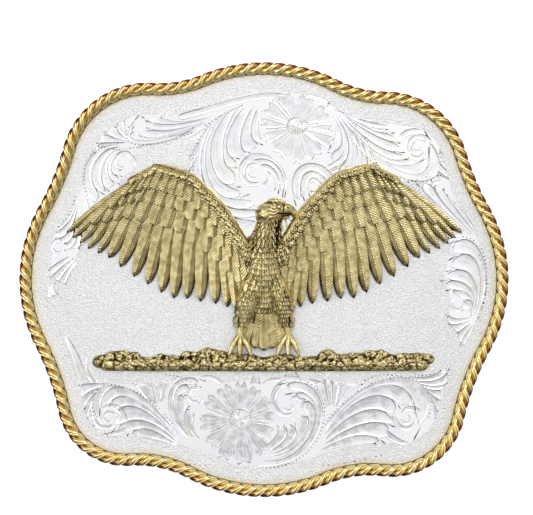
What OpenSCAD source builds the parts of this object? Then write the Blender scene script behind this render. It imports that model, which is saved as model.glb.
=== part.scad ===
// Western belt buckle, lying face up on its belt loop and belt hook.
// A scalloped plate, bent to the waist, carries a twisted rope edge, raised scrollwork and a
// cast eagle on a rocky ledge. X runs along the belt, Y up the buckle and Z out of its face.

/* [Outline] */
// Width over the rope edge
buckle_w = 101; // [98:0.5:104]
// Height over the rope edge
buckle_h = 89; // [87:0.5:91]
// Radius of the bulge in the middle of each side
side_bulge_r = 30; // [28:1:32]
// Radius of the bulge in the middle of the top and bottom
top_bulge_r = 34; // [32:1:36]
// Middle radius of the four corners, which differ a little
corner_r = 16.2; // [15.8:0.2:16.8]
// Radius of the shallow hollow between a side bulge and a corner
side_hollow_r = 53; // [47:2:61]
// Radius of the hollow between a corner and the top or bottom bulge
top_hollow_r = 22; // [20:1:26]

/* [Plate] */
// Thickness of the plate
plate_t = 1.8; // [1.6:0.1:2.2]
// Radius that the plate's face is bent to, round an axis along Y
bend_r = 230; // [210:10:260]
// Height of the face's crown above the surface the buckle lies on
crown_z = 12.5; // [12.3:0.1:13]
// How far the scrollwork stands above the face
relief_h = 0.18; // [0.12:0.02:0.24]

/* [Rope edge] */
// Diameter over the two twisted strands
rope_d = 2.5; // [2.3:0.1:2.6]
// Full turns of the twist round the whole edge
rope_turns = 61; // [55:1:66]

/* [Belt fittings] */
// Clear width of the belt loop
loop_w = 41; // [38:0.5:44]
// Diameter of the loop's wire
wire_d = 3; // [2.6:0.1:3.4]
// Diameter of the belt hook's peg
peg_d = 4.8; // [4.2:0.1:5.2]
// How far the peg leans outwards, in degrees
peg_lean = 20; // [12:1:26]

/* [Hidden] */

// Gap left between pieces that are seated on each other
seat_gap = 0.05;
// Gap under the overlay, which clears the scrollwork
overlay_gap = relief_h + 0.04;
// Centre line of the rope, in from the outline
rope_inset = rope_d / 2;
// Depth of the step in the rim that the rope lies in
step_t = 1.0;
// Centre of the rope above the face
rope_lift = rope_d / 2 + seat_gap - step_t;
// Points on each quarter of the plate's outline
quarter_points = 36;
// Rings for each turn of the twist, and points on each ring
turn_rings = 8;
ring_points = 6;
// More than any length across the buckle
long = 200;

// Corners from the top right one, counter-clockwise, as they stand on the buckle: how far the
// arc's centre lies in from the widest and from the highest point, and its radius above corner_r
corners = [
    [25.5, 23.3, 1.2],
    [26.5, 22.1, 1.8],
    [21.9, 20.3, -2.1],
    [24.2, 19.4, -0.8]
];
// Centre of each arc of a quarter of the outline, as if it were the first quarter
side_at = [buckle_w / 2 - side_bulge_r, 0];
top_at = [0, buckle_h / 2 - top_bulge_r];
function corner_at(q) = [buckle_w / 2 - corners[q][0], buckle_h / 2 - corners[q][1]];
function corner_r_at(q) = corner_r + corners[q][2];
function side_hollow_at(q) =
    crossing(side_at, side_bulge_r + side_hollow_r, corner_at(q), corner_r_at(q) + side_hollow_r);
function top_hollow_at(q) =
    crossing(corner_at(q), corner_r_at(q) + top_hollow_r, top_at, top_bulge_r + top_hollow_r);

// Height of the face over a point of the plan
function face_z(x) = crown_z - bend_r + sqrt(bend_r * bend_r - x * x);

// Point at distance ra from a and rb from b, on the right of the way from a to b
function crossing(a, ra, b, rb) =
    let (d = norm(b - a), u = (b - a) / d, t = (d * d + ra * ra - rb * rb) / (2 * d))
    a + t * u + sqrt(ra * ra - t * t) * [u.y, -u.x];

function bearing(v) = atan2(v.y, v.x);
function wrap(a) = a - 360 * round(a / 360);

// Arcs of quarter q as [centre, radius, first angle, sweep], moved out by off
function arc(centre, r, from, to) =
    [centre, r, bearing(from - centre), wrap(bearing(to - centre) - bearing(from - centre))];
function quarter_arcs(q, off) = [
    arc(side_at, side_bulge_r + off, side_at + [1, 0], side_hollow_at(q)),
    arc(side_hollow_at(q), side_hollow_r - off, side_at, corner_at(q)),
    arc(corner_at(q), corner_r_at(q) + off, side_hollow_at(q), top_hollow_at(q)),
    arc(top_hollow_at(q), top_hollow_r - off, corner_at(q), top_at),
    arc(top_at, top_bulge_r + off, top_hollow_at(q), top_at + [0, 1])
];
function arc_length(a) = abs(a[3]) * PI / 180 * a[1];
function quarter_length(q, off) = sum([for (a = quarter_arcs(q, off)) arc_length(a)]);
function sum(v, k = 0) = k == len(v) ? 0 : v[k] + sum(v, k + 1);

// [point, direction of travel] at distance s along a chain of arcs
function on_arcs(arcs, s, k = 0) =
    let (a = arcs[k], whole = arc_length(a))
    s > whole && k < len(arcs) - 1
        ? on_arcs(arcs, s - whole, k + 1)
        : let (t = a[2] + a[3] * s / whole, turn = sign(a[3]))
          [a[0] + a[1] * [cos(t), sin(t)], turn * [-sin(t), cos(t)]];

// [point, direction of travel] at share t of the whole outline, counter-clockwise from +X
function on_outline(off, t) =
    let (
        q = floor(t * 4),
        back = q % 2,
        share = t * 4 - q,
        flip = [[1, 1], [-1, 1], [-1, -1], [1, -1]][q],
        s = quarter_length(q, off) * (back == 1 ? 1 - share : share),
        at = on_arcs(quarter_arcs(q, off), s),
        way = back == 1 ? -1 : 1
    )
    [[flip.x * at[0].x, flip.y * at[0].y], way * [flip.x * at[1].x, flip.y * at[1].y]];

module outline(off) {
    n = 4 * quarter_points;
    polygon([for (k = [0 : n - 1]) on_outline(off, k / n)[0]]);
}

// Solid between the face lowered by deep and the face raised by high
module bent_layer(deep, high) {
    translate([0, 0, crown_z - bend_r]) rotate([90, 0, 0]) difference() {
        cylinder(r = bend_r + high, h = long, center = true, $fn = 360);
        cylinder(r = bend_r - deep, h = long + 2, center = true, $fn = 360);
    }
}

// A plan shape cut out of the bent plate
module bent_sheet(deep, high) {
    intersection() {
        linear_extrude(height = crown_z + 3) children();
        bent_layer(deep, high);
    }
}

module plate() {
    color("gainsboro") {
        bent_sheet(plate_t, -step_t) outline(-rope_inset + 0.35);
        bent_sheet(plate_t, 0) outline(-rope_d - seat_gap);
        bent_sheet(relief_root, relief_h) scrollwork();
    }
}

// Scrollwork: fans of leaves that part from one stem and curl at their tips.
// Each fan has a count of leaves, then its guide strokes from the outermost in. A guide is a
// smooth stroke with named columns: from, first handle, second handle, to. Leaves share out
// the room between neighbouring guides.
scroll_fans = [
    // Great scroll on the left of the top flower, and the lobe round its eye
    [2, [[2, 37.3], [-18, 36], [-17, 11], [0, 14.5]],
        [[2, 37.3], [-14.5, 36], [-14.5, 14], [-1, 17.6]]],
    [5, [[1.6, 37], [-13.5, 35], [-12.6, 17.4], [-5.6, 18.6]],
        [[1, 36.6], [-2.5, 36.5], [-5, 30.5], [-1.4, 29]]],
    [3, [[-4.6, 24.4], [-1.5, 26.5], [7.5, 24], [2.6, 16.6]],
        [[-4.2, 23.6], [-1, 25], [3.6, 22.5], [0.6, 18.4]]],
    // Great scroll on its right, and the lobe round its eye
    [3, [[13.5, 35.2], [30, 30], [22, 4], [6, 12.5]],
        [[13.5, 35], [25, 31], [21, 9], [10.4, 15.4]]],
    [5, [[13.4, 34.8], [22.5, 31], [22, 16.4], [14.8, 17]],
        [[13, 34.6], [15.5, 33], [17, 27], [13.6, 26.6]]],
    [3, [[14.6, 22.2], [11.5, 25.6], [3.5, 22], [7, 15.6]],
        [[14, 21.4], [12, 23], [7.5, 22], [9, 17.4]]],
    // Small scroll between them, and the leaves that hang below
    [3, [[0.6, 17], [5.5, 15], [7.5, 4.5], [-1.2, 5.8]],
        [[0.6, 16.6], [2, 14.5], [3.6, 10.4], [1.4, 9.6]]],
    [3, [[-9.4, 14.4], [-7.5, 11], [-6.5, 9], [-6, 7.2]],
        [[-8, 13.8], [-6, 13], [-4.2, 12], [-2.6, 12]]],
    [8, [[10, 9.6], [7.5, 10.2], [5, 9.5], [4.2, 7]],
        [[14, 9.4], [13.6, 8.4], [12.4, 6], [10.6, 4.6]],
        [[22.6, 15.6], [22.4, 12], [21.8, 9], [20.6, 6.8]]],
    // Top left
    [1, [[3.5, 38.5], [-6, 39.2], [-10, 35], [-18, 34.2]],
        [[3.5, 38.1], [-4, 37.6], [-9, 33.8], [-17, 33]]],
    [4, [[-10.8, 32.4], [-19, 29.5], [-30, 24], [-27.5, 32]],
        [[-10.8, 32.8], [-14, 32.3], [-18, 31], [-19.8, 33.6]]],
    [3, [[-26.4, 28.2], [-29, 27.6], [-32, 27.5], [-33.5, 29.8]],
        [[-28, 28.9], [-28.6, 30], [-29, 31.5], [-28.4, 33.2]]],
    // Left
    [4, [[-26.8, 26.8], [-35, 30], [-38.7, 19], [-34.5, 15]],
        [[-27.2, 26.2], [-31.8, 27], [-33.2, 21], [-29.8, 20.2]]],
    [3, [[-37.2, 19], [-38, 9.5], [-27, 9], [-29.6, 15.6]],
        [[-36.8, 19], [-36, 16], [-35.2, 14.8], [-33.6, 14.6]]],
    [5, [[-38.6, 17.4], [-39.6, 14], [-40.8, 12], [-42.4, 10.8]],
        [[-38.3, 17], [-39.2, 12], [-39, 9], [-40.3, 6.5]],
        [[-38, 16.4], [-37.6, 13], [-37, 11], [-35.6, 9.2]]],
    // Bottom left
    [2, [[-16, -34], [-24, -20], [-42, -17], [-33, -31.8]],
        [[-16.3, -34], [-24, -22.4], [-37.5, -19], [-34, -27.4]]],
    [5, [[-16.6, -34], [-22.5, -25.8], [-29, -22], [-30.3, -25.8]],
        [[-16.6, -34.4], [-20.4, -32], [-25, -31], [-28.2, -33]]],
    [2, [[-21, -25.4], [-23, -23.6], [-24.4, -21.8], [-27, -21]],
        [[-20.4, -25.2], [-21, -23.6], [-21.4, -22], [-21.4, -20.2]]],
    [6, [[-12.5, -34], [-22, -30], [-22.5, -15], [-12.2, -22]],
        [[-12.5, -34], [-19.4, -29.5], [-19.5, -18], [-15.4, -22.6]],
        [[-12.4, -33.6], [-14.4, -31.6], [-16, -29], [-14.2, -27.4]]],
    // Bottom right
    [8, [[-3, -38], [13, -41.5], [18, -19], [5, -21]],
        [[-1, -37.2], [12, -38.5], [14, -23.5], [8.7, -23.8]],
        [[0.5, -36], [7, -35], [10, -31], [7.6, -28.6]],
        [[0.8, -35], [2.6, -34], [4.5, -31], [2.4, -30.2]]],
    [2, [[10.6, -33.8], [19, -18], [41, -15], [30.5, -31.2]],
        [[11, -33.6], [19, -21], [34, -18.4], [31.8, -26]]],
    [6, [[11.6, -33.4], [18, -26], [24, -21.6], [29.5, -24.6]],
        [[10.6, -35], [16, -31], [20, -27.5], [25.3, -28.4]],
        [[9.4, -36.6], [14, -34.6], [20, -31.6], [24.6, -33.8]]],
    [3, [[33.6, -20.4], [34.5, -20.4], [35.4, -20], [36.8, -18.6]],
        [[33.8, -22.8], [34.4, -23.2], [35.4, -23.8], [36.3, -24.6]]],
    [3, [[13.6, -25.6], [12.6, -24.4], [11.8, -23], [11.4, -21]],
        [[15.4, -25.4], [16.4, -23.6], [17.6, -21.8], [19.6, -20.8]]],
    // Top right
    [2, [[23.4, 24.4], [29, 18.5], [42, 24], [31.5, 30.2]],
        [[22.6, 25.4], [28, 20.8], [36, 22.2], [33.4, 26.8]]],
    [5, [[22.4, 25.8], [25, 24], [29, 23.2], [31.8, 25]],
        [[17.6, 32.6], [20, 31.4], [25, 29], [28.3, 29.9]]],
    [1, [[14.4, 35], [18, 33.2], [21, 31.8], [25.3, 30.8]],
        [[14.2, 35.8], [18, 34.6], [21, 33], [25.7, 32.2]]],
    // Right
    [3, [[43.6, 8.2], [38.6, 12], [32.5, 18], [37, 20]],
        [[44, 8.6], [41.4, 11.5], [38.6, 14], [37.8, 16.4]],
        [[44.4, 9], [43.4, 11], [42, 13.4], [39.8, 16]]],
    [6, [[42.7, -10], [48, -2], [46, 12], [38.4, 7]],
        [[42.4, -9.8], [46, -1], [43.8, 4.4], [38.8, 3.2]],
        [[42.2, -9.6], [44, -5], [42.6, -1.6], [38.4, -2.2]]]
];

// Eye of each scroll: x, y, radius, angle it starts at, turn as it winds in, width
scroll_eyes = [
    [-3.2, 21.2, 2.2, 100, -430, 1.1],
    [11.2, 18.8, 2.0, 80, 430, 1.0],
    [-28.7, 24, 2.2, 60, 430, 1.1],
    [-31.6, 15.4, 1.5, 300, 430, 0.8],
    [-42.4, 6.6, 1.6, 20, 430, 0.8],
    [-31.8, -28.6, 2.0, 60, 430, 1.0],
    [-14.2, -24.8, 1.2, 100, -430, 0.7],
    [5.6, -25.8, 2.2, 60, 430, 1.0],
    [29, -28.6, 2.2, 100, -430, 1.0],
    [31.4, 27.4, 1.9, 260, 430, 0.9],
    [39.2, -5.2, 1.6, 30, 430, 0.8]
];

// Flowers: x, y, radius of the disc, radius over the petals
scroll_flowers = [[6.6, 31.1, 2.2, 7], [-5.2, -28.6, 2.3, 7.7]];
petals = 9;

// Share of a leaf's room that is left as the groove beside it
leaf_groove = 0.16;
// Along a leaf: share of its length, share of its width
leaf_form = [[0.12, 1], [0.3, 1], [0.45, 1], [0.6, 1], [0.75, 1], [0.86, 1], [0.94, 0.8], [0.99, 0.4]];
// Along a petal: share of the way out, half width as a share of its room
petal_form = [[0, 0.3], [0.45, 0.84], [0.82, 0.94], [1, 0.6]];
// How far the scrollwork's shapes reach below the face
relief_root = 0.5;

// Point at share t of a stroke
function on_stroke(g, t) =
    let (u = 1 - t)
    u * u * u * g[0] + 3 * t * u * u * g[1] + 3 * t * t * u * g[2] + t * t * t * g[3];

// Stroke at a share of the way across a fan
function fan_stroke(fan, share) =
    let (gaps = len(fan) - 2, k = min(floor(share * gaps), gaps - 1), f = share * gaps - k)
    fan[1 + k] * (1 - f) + fan[2 + k] * f;

function leaf_edge(fan, k, side) = [
    for (s = leaf_form)
        on_stroke(fan_stroke(fan, (k + 0.5 + side * s[1] * (1 - leaf_groove) / 2) / fan[0]), s[0])
];
function reversed(v) = [for (k = [len(v) - 1 : -1 : 0]) v[k]];
function polar(r, a) = r * [cos(a), sin(a)];

// Points of an eye's ribbon on its inner or outer side
eye_points = 16;
function eye_edge(e, side) = [
    for (k = [0 : eye_points])
        let (t = k / eye_points)
        [e[0], e[1]] + polar(e[2] * (1 - 0.75 * t) + side * e[5] / 2 * (1 - 0.5 * t), e[3] + e[4] * t)
];

module scrollwork() {
    for (fan = scroll_fans, k = [0 : fan[0] - 1])
        polygon(concat(leaf_edge(fan, k, -1), reversed(leaf_edge(fan, k, 1))));
    for (e = scroll_eyes) polygon(concat(eye_edge(e, -1), reversed(eye_edge(e, 1))));
    for (f = scroll_flowers) translate([f[0], f[1]]) {
        circle(r = f[2] * 0.85, $fn = 24);
        for (k = [0 : petals - 1]) rotate(90 + 360 * k / petals) petal(f[2], f[3]);
    }
}

// Petal with a notch in its tip
module petal(near, far) {
    room = 180 / petals;
    edge = [for (s = petal_form) [lerp(near, far, s[0]), s[1] * room]];
    polygon(concat(
        [for (s = edge) polar(s[0], s[1])],
        [[far * 0.92, 0]],
        [for (s = reversed(edge)) polar(s[0], -s[1])]
    ));
}

// Radius of the two twisted strands, seen end on, at an angle from the first strand
function strand_r(a) = rope_d / 2 * (0.74 + 0.26 * cos(2 * a));

module rope_edge() {
    rings = rope_turns * turn_rings;
    points = [
        for (k = [0 : rings - 1])
            let (
                at = on_outline(-rope_inset, k / rings),
                out = [at[1].y, -at[1].x],
                twist = 360 * k / turn_rings
            )
            for (m = [0 : ring_points - 1])
                let (a = twist + 360 * m / ring_points, r = strand_r(a - twist))
                [
                    at[0].x + r * cos(a) * out.x,
                    at[0].y + r * cos(a) * out.y,
                    face_z(at[0].x) + rope_lift + r * sin(a)
                ]
    ];
    faces = [
        for (k = [0 : rings - 1], m = [0 : ring_points - 1])
            let (
                next_k = (k + 1) % rings,
                next_m = (m + 1) % ring_points,
                a = k * ring_points + m,
                b = k * ring_points + next_m,
                c = next_k * ring_points + next_m,
                d = next_k * ring_points + m
            )
            each [[a, b, c], [a, c, d]]
    ];
    color("gold") polyhedron(points, faces);
}

// Rectangle of round wire in the XY plane, its left bar's centre line on x = 0
module wire_frame(length, width, bend, r) {
    for (side = [-1, 1]) {
        translate([bend, side * width / 2, 0]) rotate([0, 90, 0])
            cylinder(r = r, h = length - 2 * bend, $fn = 48);
        for (end = [0, 1])
            translate([end == 0 ? bend : length - bend, side * (width / 2 - bend), 0])
                rotate([0, 0, end == 0 ? (side == 1 ? 90 : 180) : (side == 1 ? 0 : 270)])
                    rotate_extrude(angle = 90, $fn = 48) translate([bend, 0]) circle(r = r, $fn = 48);
    }
    for (x = [0, length])
        translate([x, -width / 2 + bend, 0]) rotate([-90, 0, 0])
            cylinder(r = r, h = width - 2 * bend, $fn = 48);
}

// Where the loop's two bars run: the inner one under the plate, the outer one on the ground
inner_bar_x = 17;
outer_bar_x = 35;
wire_r = wire_d / 2;
inner_bar_z = face_z(inner_bar_x) - plate_t - wire_r - 0.4;
loop_tilt = atan2(inner_bar_z - wire_r, outer_bar_x - inner_bar_x);
loop_len = norm([inner_bar_z - wire_r, outer_bar_x - inner_bar_x]);
saddle = [6, 26, 4];

module belt_loop() {
    color("silver") difference() {
        union() {
            translate([inner_bar_x, 0, inner_bar_z]) rotate([0, loop_tilt, 0])
                wire_frame(loop_len, loop_w + wire_d, 4, wire_r);
            translate([inner_bar_x - saddle.x / 2, -saddle.y / 2, inner_bar_z - 0.6]) cube(saddle);
        }
        bent_layer(plate_t + seat_gap, 20);
    }
}

peg_r = peg_d / 2;
peg_x = -34;
peg_root = [peg_x, 0, face_z(peg_x) - plate_t];
peg_len = (peg_root.z - peg_r) / cos(peg_lean);
collar_r = 3.8;
collar_h = 1.7;

module belt_hook() {
    color("silver") difference() {
        translate(peg_root) rotate([0, 180 + peg_lean, 0]) {
            cylinder(r = peg_r, h = peg_len, $fn = 48);
            translate([0, 0, peg_len]) sphere(r = peg_r, $fn = 48);
            translate([0, 0, -3]) cylinder(r = collar_r, h = collar_h + 3, $fn = 48);
        }
        bent_layer(plate_t + seat_gap, 20);
    }
}

// Point at share t of a list of points joined by straight lines
function along(path, t) =
    let (n = len(path) - 1, k = min(floor(t * n), n - 1), f = t * n - k)
    path[k] * (1 - f) + path[k + 1] * f;
function lerp(a, b, t) = a + (b - a) * t;

// Depth that the overlay's shapes reach below the face before they are cut off above it
root_depth = 1;

// Upright round post that stands on the face, and a flattened dome on it
module post(at, r, h, sides = 6) {
    translate([at.x, at.y, face_z(at.x) - root_depth])
        cylinder(r = r, h = h + root_depth, $fn = sides);
}
module dome(at, r, h, sides = 10) {
    translate([at.x, at.y, face_z(at.x)]) scale([1, 1, h / r]) sphere(r = r, $fn = sides);
}
// Rounded ridge from one dome to another
module ridge(a, r_a, h_a, b, r_b, h_b) {
    hull() {
        dome(a, r_a, h_a);
        dome(b, r_b, h_b);
    }
}

// One feather: a vane w wide that falls away on both sides of a rib h high
module feather(root, angle, length, w, h) {
    way = [cos(angle), sin(angle)];
    hull() {
        post(root, w * 0.3, h * 0.6);
        post(root + way * length * 0.6, w * 0.5, h * 0.55);
        post(root + way * (length - w * 0.3), w * 0.3, h * 0.4);
        post(root + way * w * 0.3, w * 0.04, h, 3);
        post(root + way * (length - w * 0.5), w * 0.04, h * 0.8, 3);
    }
}

// Leading edge of the right wing, from the shoulder over the wrist to the hand
wing_edge = [[3.5, 5], [8.5, 13.5], [15, 20.5], [21.5, 22.5], [27, 20]];
// Each row of a wing's feathers, from the hand inwards:
// count, share of the edge from and to, angle from and to, length from and to, width, height
wing_rows = [
    [9, 1.00, 0.55, -36, -76, 17, 24, 4.3, 1.1],
    [8, 0.50, 0.02, -78, -93, 24, 14, 4.5, 1.3],
    [12, 0.97, 0.04, -44, -93, 11, 8, 3.9, 1.8],
    [9, 0.92, 0.08, -48, -93, 7, 5, 3.8, 2.3]
];

module feather_row(count, edge_a, edge_b, angle_a, angle_b, length_a, length_b, w, h) {
    for (k = [0 : count - 1]) {
        t = k / (count - 1);
        feather(
            along(wing_edge, lerp(edge_a, edge_b, t)),
            lerp(angle_a, angle_b, t), lerp(length_a, length_b, t), w, h
        );
    }
}

module wing() {
    for (r = wing_rows) feather_row(r[0], r[1], r[2], r[3], r[4], r[5], r[6], r[7], r[8]);
    for (k = [0 : len(wing_edge) - 2]) ridge(wing_edge[k], 1.8, 2.9, wing_edge[k + 1], 1.6, 2.7);
}

// Tail feathers fan out from one root
tail_root = [0, -3];
tail_len = 11.5;
tail_spread = 9;

module eagle_body() {
    for (k = [-3 : 3])
        feather(tail_root, -90 + tail_spread * k, tail_len - 0.4 * abs(k), 3.4, 1.7 - 0.1 * abs(k));
    // Breast, neck and head, beak
    ridge([0, 4.5], 5, 3.5, [0, -4], 3.6, 2.7);
    ridge([0.3, 8], 3.4, 3.5, [1.4, 13.6], 2.6, 3.4);
    ridge([3.4, 13.8], 1.4, 2.6, [5.2, 12.4], 0.6, 1.9);
    for (side = [-1, 1]) {
        hip = [side * 3, -3];
        ankle = [side * 4.8, -10.5];
        ridge(hip, 2.5, 3, ankle, 1.3, 2.3);
        for (toe = [-1 : 1]) ridge(ankle, 0.9, 2.3, ankle + [toe * 1.9, -4], 0.7, 2.9);
    }
}

// Rocky ledge, each rock a step further along X than the last and turned another way
rock_n = 15;
rock_step = 4.7;
rock_turn = 137;
ledge_y = -16.4;

module ledge() {
    for (k = [0 : rock_n - 1]) {
        x = (k - (rock_n - 1) / 2) * rock_step;
        rough = sin(k * rock_turn);
        hull() {
            post([x - 1.7, ledge_y - 0.7 - 0.4 * rough], 1.9, 1.5 + 0.3 * rough, 7);
            post([x + 1.7, ledge_y + 0.6 + rough], 1.7, 1.9 - 0.3 * rough, 5);
            post([x, ledge_y + 0.3 * rough], 0.9, 2.3 + 0.3 * rough, 5);
        }
    }
}

module eagle_overlay() {
    color("darkgoldenrod") difference() {
        union() {
            wing();
            mirror([1, 0, 0]) wing();
            eagle_body();
            ledge();
        }
        bent_layer(bend_r - 1, overlay_gap);
    }
}

plate();
rope_edge();
eagle_overlay();
belt_loop();
belt_hook();
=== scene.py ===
# %% [markdown]
# # A western belt buckle
# The buckle lies face up on its belt loop and hook. This lesson dresses the imported model: a frosted
# silver plate with cupped scrollwork and two flowers, a twisted gold rope round the rim, an
# antiqued eagle on a rocky ledge, and plain nickel fittings on the back.
# First the imported model is loaded. It fixes where everything sits.

# %% Load the imported model
import math
import random

import bmesh
import bpy
import numpy as np
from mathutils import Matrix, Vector, noise


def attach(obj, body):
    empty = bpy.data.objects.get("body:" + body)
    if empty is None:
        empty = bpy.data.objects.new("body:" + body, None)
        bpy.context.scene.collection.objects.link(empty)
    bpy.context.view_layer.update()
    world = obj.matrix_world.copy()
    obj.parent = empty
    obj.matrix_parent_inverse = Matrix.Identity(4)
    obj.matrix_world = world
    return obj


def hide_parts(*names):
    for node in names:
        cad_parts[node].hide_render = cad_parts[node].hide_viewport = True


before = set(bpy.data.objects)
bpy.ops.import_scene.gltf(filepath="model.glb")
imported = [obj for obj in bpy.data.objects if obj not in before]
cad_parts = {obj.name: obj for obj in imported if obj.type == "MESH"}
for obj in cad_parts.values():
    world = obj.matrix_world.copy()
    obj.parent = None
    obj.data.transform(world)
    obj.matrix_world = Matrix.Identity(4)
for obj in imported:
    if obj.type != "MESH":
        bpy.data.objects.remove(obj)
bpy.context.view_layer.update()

mm = 0.001
random.seed(11)

# %% [markdown]
# ## The face that everything follows
# A trophy buckle's plate is pressed to a shallow bend so that it lies close to the waist. Every
# ornament on it follows that bend, so one function gives the face's height over any point of the
# plan. The outline is five arcs in each quarter: the side bulge, a hollow, the corner, another
# hollow, and the bulge at the top. The arcs are worked out from their radii, as on a drawing, and
# the four corners differ a little, as the hand-finished ones do.

# %% The bend and the outline
buckle_size = Vector((101, 89)) * mm
side_bulge_r, side_hollow_r = 30 * mm, 53 * mm
top_hollow_r, top_bulge_r = 22 * mm, 34 * mm
corner_r = 16.2 * mm
# Corners from the top right one, counter-clockwise: how far the arc's centre lies in from the widest
# and from the highest point, and its radius above corner_r
corners = [(25.5, 23.3, 1.2), (26.5, 22.1, 1.8), (21.9, 20.3, -2.1), (24.2, 19.4, -0.8)]
bend_r, crown_z = 230 * mm, 12.5 * mm
plate_t, step_t = 1.8 * mm, 1.0 * mm
rope_d, seat_gap = 2.5 * mm, 0.05 * mm


def face_z(x):
    """Height of the plate's face over a point of the plan."""
    return crown_z - bend_r + np.sqrt(bend_r * bend_r - x * x)


def crossing(a, ra, b, rb):
    """Point at distance ra from a and rb from b, on the right of the way from a to b."""
    d = (b - a).length
    u = (b - a) / d
    t = (d * d + ra * ra - rb * rb) / (2 * d)
    return a + u * t + Vector((u.y, -u.x)) * math.sqrt(ra * ra - t * t)


side_at = Vector((buckle_size.x / 2 - side_bulge_r, 0))
top_at = Vector((0, buckle_size.y / 2 - top_bulge_r))


def arc_points(centre, r, start, end, n):
    """Points of the arc round centre, from facing start to facing end, without the last one."""
    a = math.atan2(*(start - centre).yx)
    sweep = math.remainder(math.atan2(*(end - centre).yx) - a, math.tau)
    turns = [a + sweep * k / n for k in range(n)]
    return [centre + Vector((math.cos(turn), math.sin(turn))) * r for turn in turns]


def quarter(row, off, n):
    """A quarter of the outline, moved out by off, from the widest to the highest point."""
    corner_at = buckle_size / 2 - Vector(row[:2]) * mm
    r = corner_r + row[2] * mm
    side_hollow_at = crossing(side_at, side_bulge_r + side_hollow_r, corner_at, r + side_hollow_r)
    top_hollow_at = crossing(corner_at, r + top_hollow_r, top_at, top_bulge_r + top_hollow_r)
    return np.array([tuple(p) for p in (
        arc_points(side_at, side_bulge_r + off, side_at + Vector((1, 0)), side_hollow_at, n)
        + arc_points(side_hollow_at, side_hollow_r - off, side_at, corner_at, n // 2)
        + arc_points(corner_at, r + off, side_hollow_at, top_hollow_at, n)
        + arc_points(top_hollow_at, top_hollow_r - off, corner_at, top_at, n)
        + arc_points(top_at, top_bulge_r + off, top_hollow_at, top_at + Vector((0, 1)), n)
        + [top_at + Vector((0, top_bulge_r + off))]
    )])


def outline(off, n=60):
    """The plan outline moved out by off, counter-clockwise from +X, as an array of points."""
    a, b, c, d = (quarter(row, off, n) for row in corners)
    return np.concatenate([a, (b * [-1, 1])[::-1][1:], (-c)[1:], (d * [1, -1])[::-1][1:-1]])


def run_of(path):
    """How far along a path each of its points lies."""
    return np.concatenate([[0], np.cumsum(np.linalg.norm(np.diff(path, axis=0), axis=1))])


def on_path(path, at, run=None):
    """Points at the given runs along a path, or at the given counts of its points where run is left out."""
    run = range(len(path)) if run is None else run
    return np.stack([np.interp(at, run, column) for column in path.T], axis=-1)


def even_points(path, n):
    """A closed path shared out into n evenly spaced points, and its length."""
    closed = np.vstack([path, path[:1]])
    run = run_of(closed)
    return on_path(closed, np.linspace(0, run[-1], n, endpoint=False), run), run[-1]


_, rim_length = even_points(outline(0), 720)
print("outline length over the rope:", round(rim_length / mm, 1), "mm")

# %% [markdown]
# ## Camera, table and light
# The photograph looks straight down with a long lens, and the buckle fills its width a little below
# the middle. The floor is plain white. Silver shows what it faces, so the sky is brightest high above
# the buckle's top edge and darkens away from there: flat metal turns pale, the upper side of every
# ridge white and its lower side grey. Two soft boxes, at the top right and at the left, add gleams.

# %% Camera
picture = Vector((533, 515))
buckle_on_picture = Vector((264, 279.5))
mm_per_pixel = 0.2052
lens_mm, sensor_mm = 200, 36
face_height = 0.0105
view_width = picture.x * mm_per_pixel * mm
camera_data = bpy.data.cameras.new("camera")
camera_data.lens, camera_data.sensor_width = lens_mm, sensor_mm
camera = bpy.data.objects.new("camera", camera_data)
bpy.context.collection.objects.link(camera)
aim = (picture / 2 - buckle_on_picture) * mm_per_pixel * mm
camera.location = (aim.x, -aim.y, face_height + view_width * lens_mm / sensor_mm)
bpy.context.scene.camera = camera
print("camera at", [round(c, 4) for c in camera.location])

# %% Floor
bpy.ops.object.select_all(action="DESELECT")
bpy.ops.mesh.primitive_plane_add(size=6, location=(0, 0, 0))
floor = bpy.context.object
floor.name = "floor"
floor_white = bpy.data.materials.new("floor_white")
floor_white.use_nodes = True
white = floor_white.node_tree.nodes["Principled BSDF"]
white.inputs["Base Color"].default_value = (0.93, 0.93, 0.93, 1)
white.inputs["Roughness"].default_value = 0.9
white.inputs["Emission Color"].default_value = (1, 1, 1, 1)
white.inputs["Emission Strength"].default_value = 0.45
floor.data.materials.append(floor_white)

# %% Sky
bpy.context.scene.view_settings.view_transform = "Standard"
world = bpy.data.worlds.new("sky")
bpy.context.scene.world = world
world.use_nodes = True
sky = world.node_tree
brightest = Vector((0.06, 0.5, 0.85)).normalized()
# The bright patch is long from left to right, so that the bent plate is pale up to its sides
patch_limit, patch_stretch = 0.16, 0.42
# How far the direction agrees with the brightest one, and the light that comes from it
sky_light = [(0.0, (0.22, 0.22, 0.235)), (0.4, (0.50, 0.505, 0.53)), (0.7, (0.77, 0.775, 0.795)),
             (0.81, (0.83, 0.835, 0.85)), (0.9, (0.98, 0.98, 0.98)), (0.97, (1.06, 1.06, 1.06))]


def sky_node(kind, *values, **settings):
    """A node of the sky; each value is a number for its socket, or another node's socket."""
    made = sky.nodes.new("ShaderNode" + kind)
    for key, setting in settings.items():
        setattr(made, key, setting)
    for socket, value in zip(made.inputs, values):
        if hasattr(value, "links"):
            sky.links.new(value, socket)
        else:
            socket.default_value = value
    return made


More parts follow.
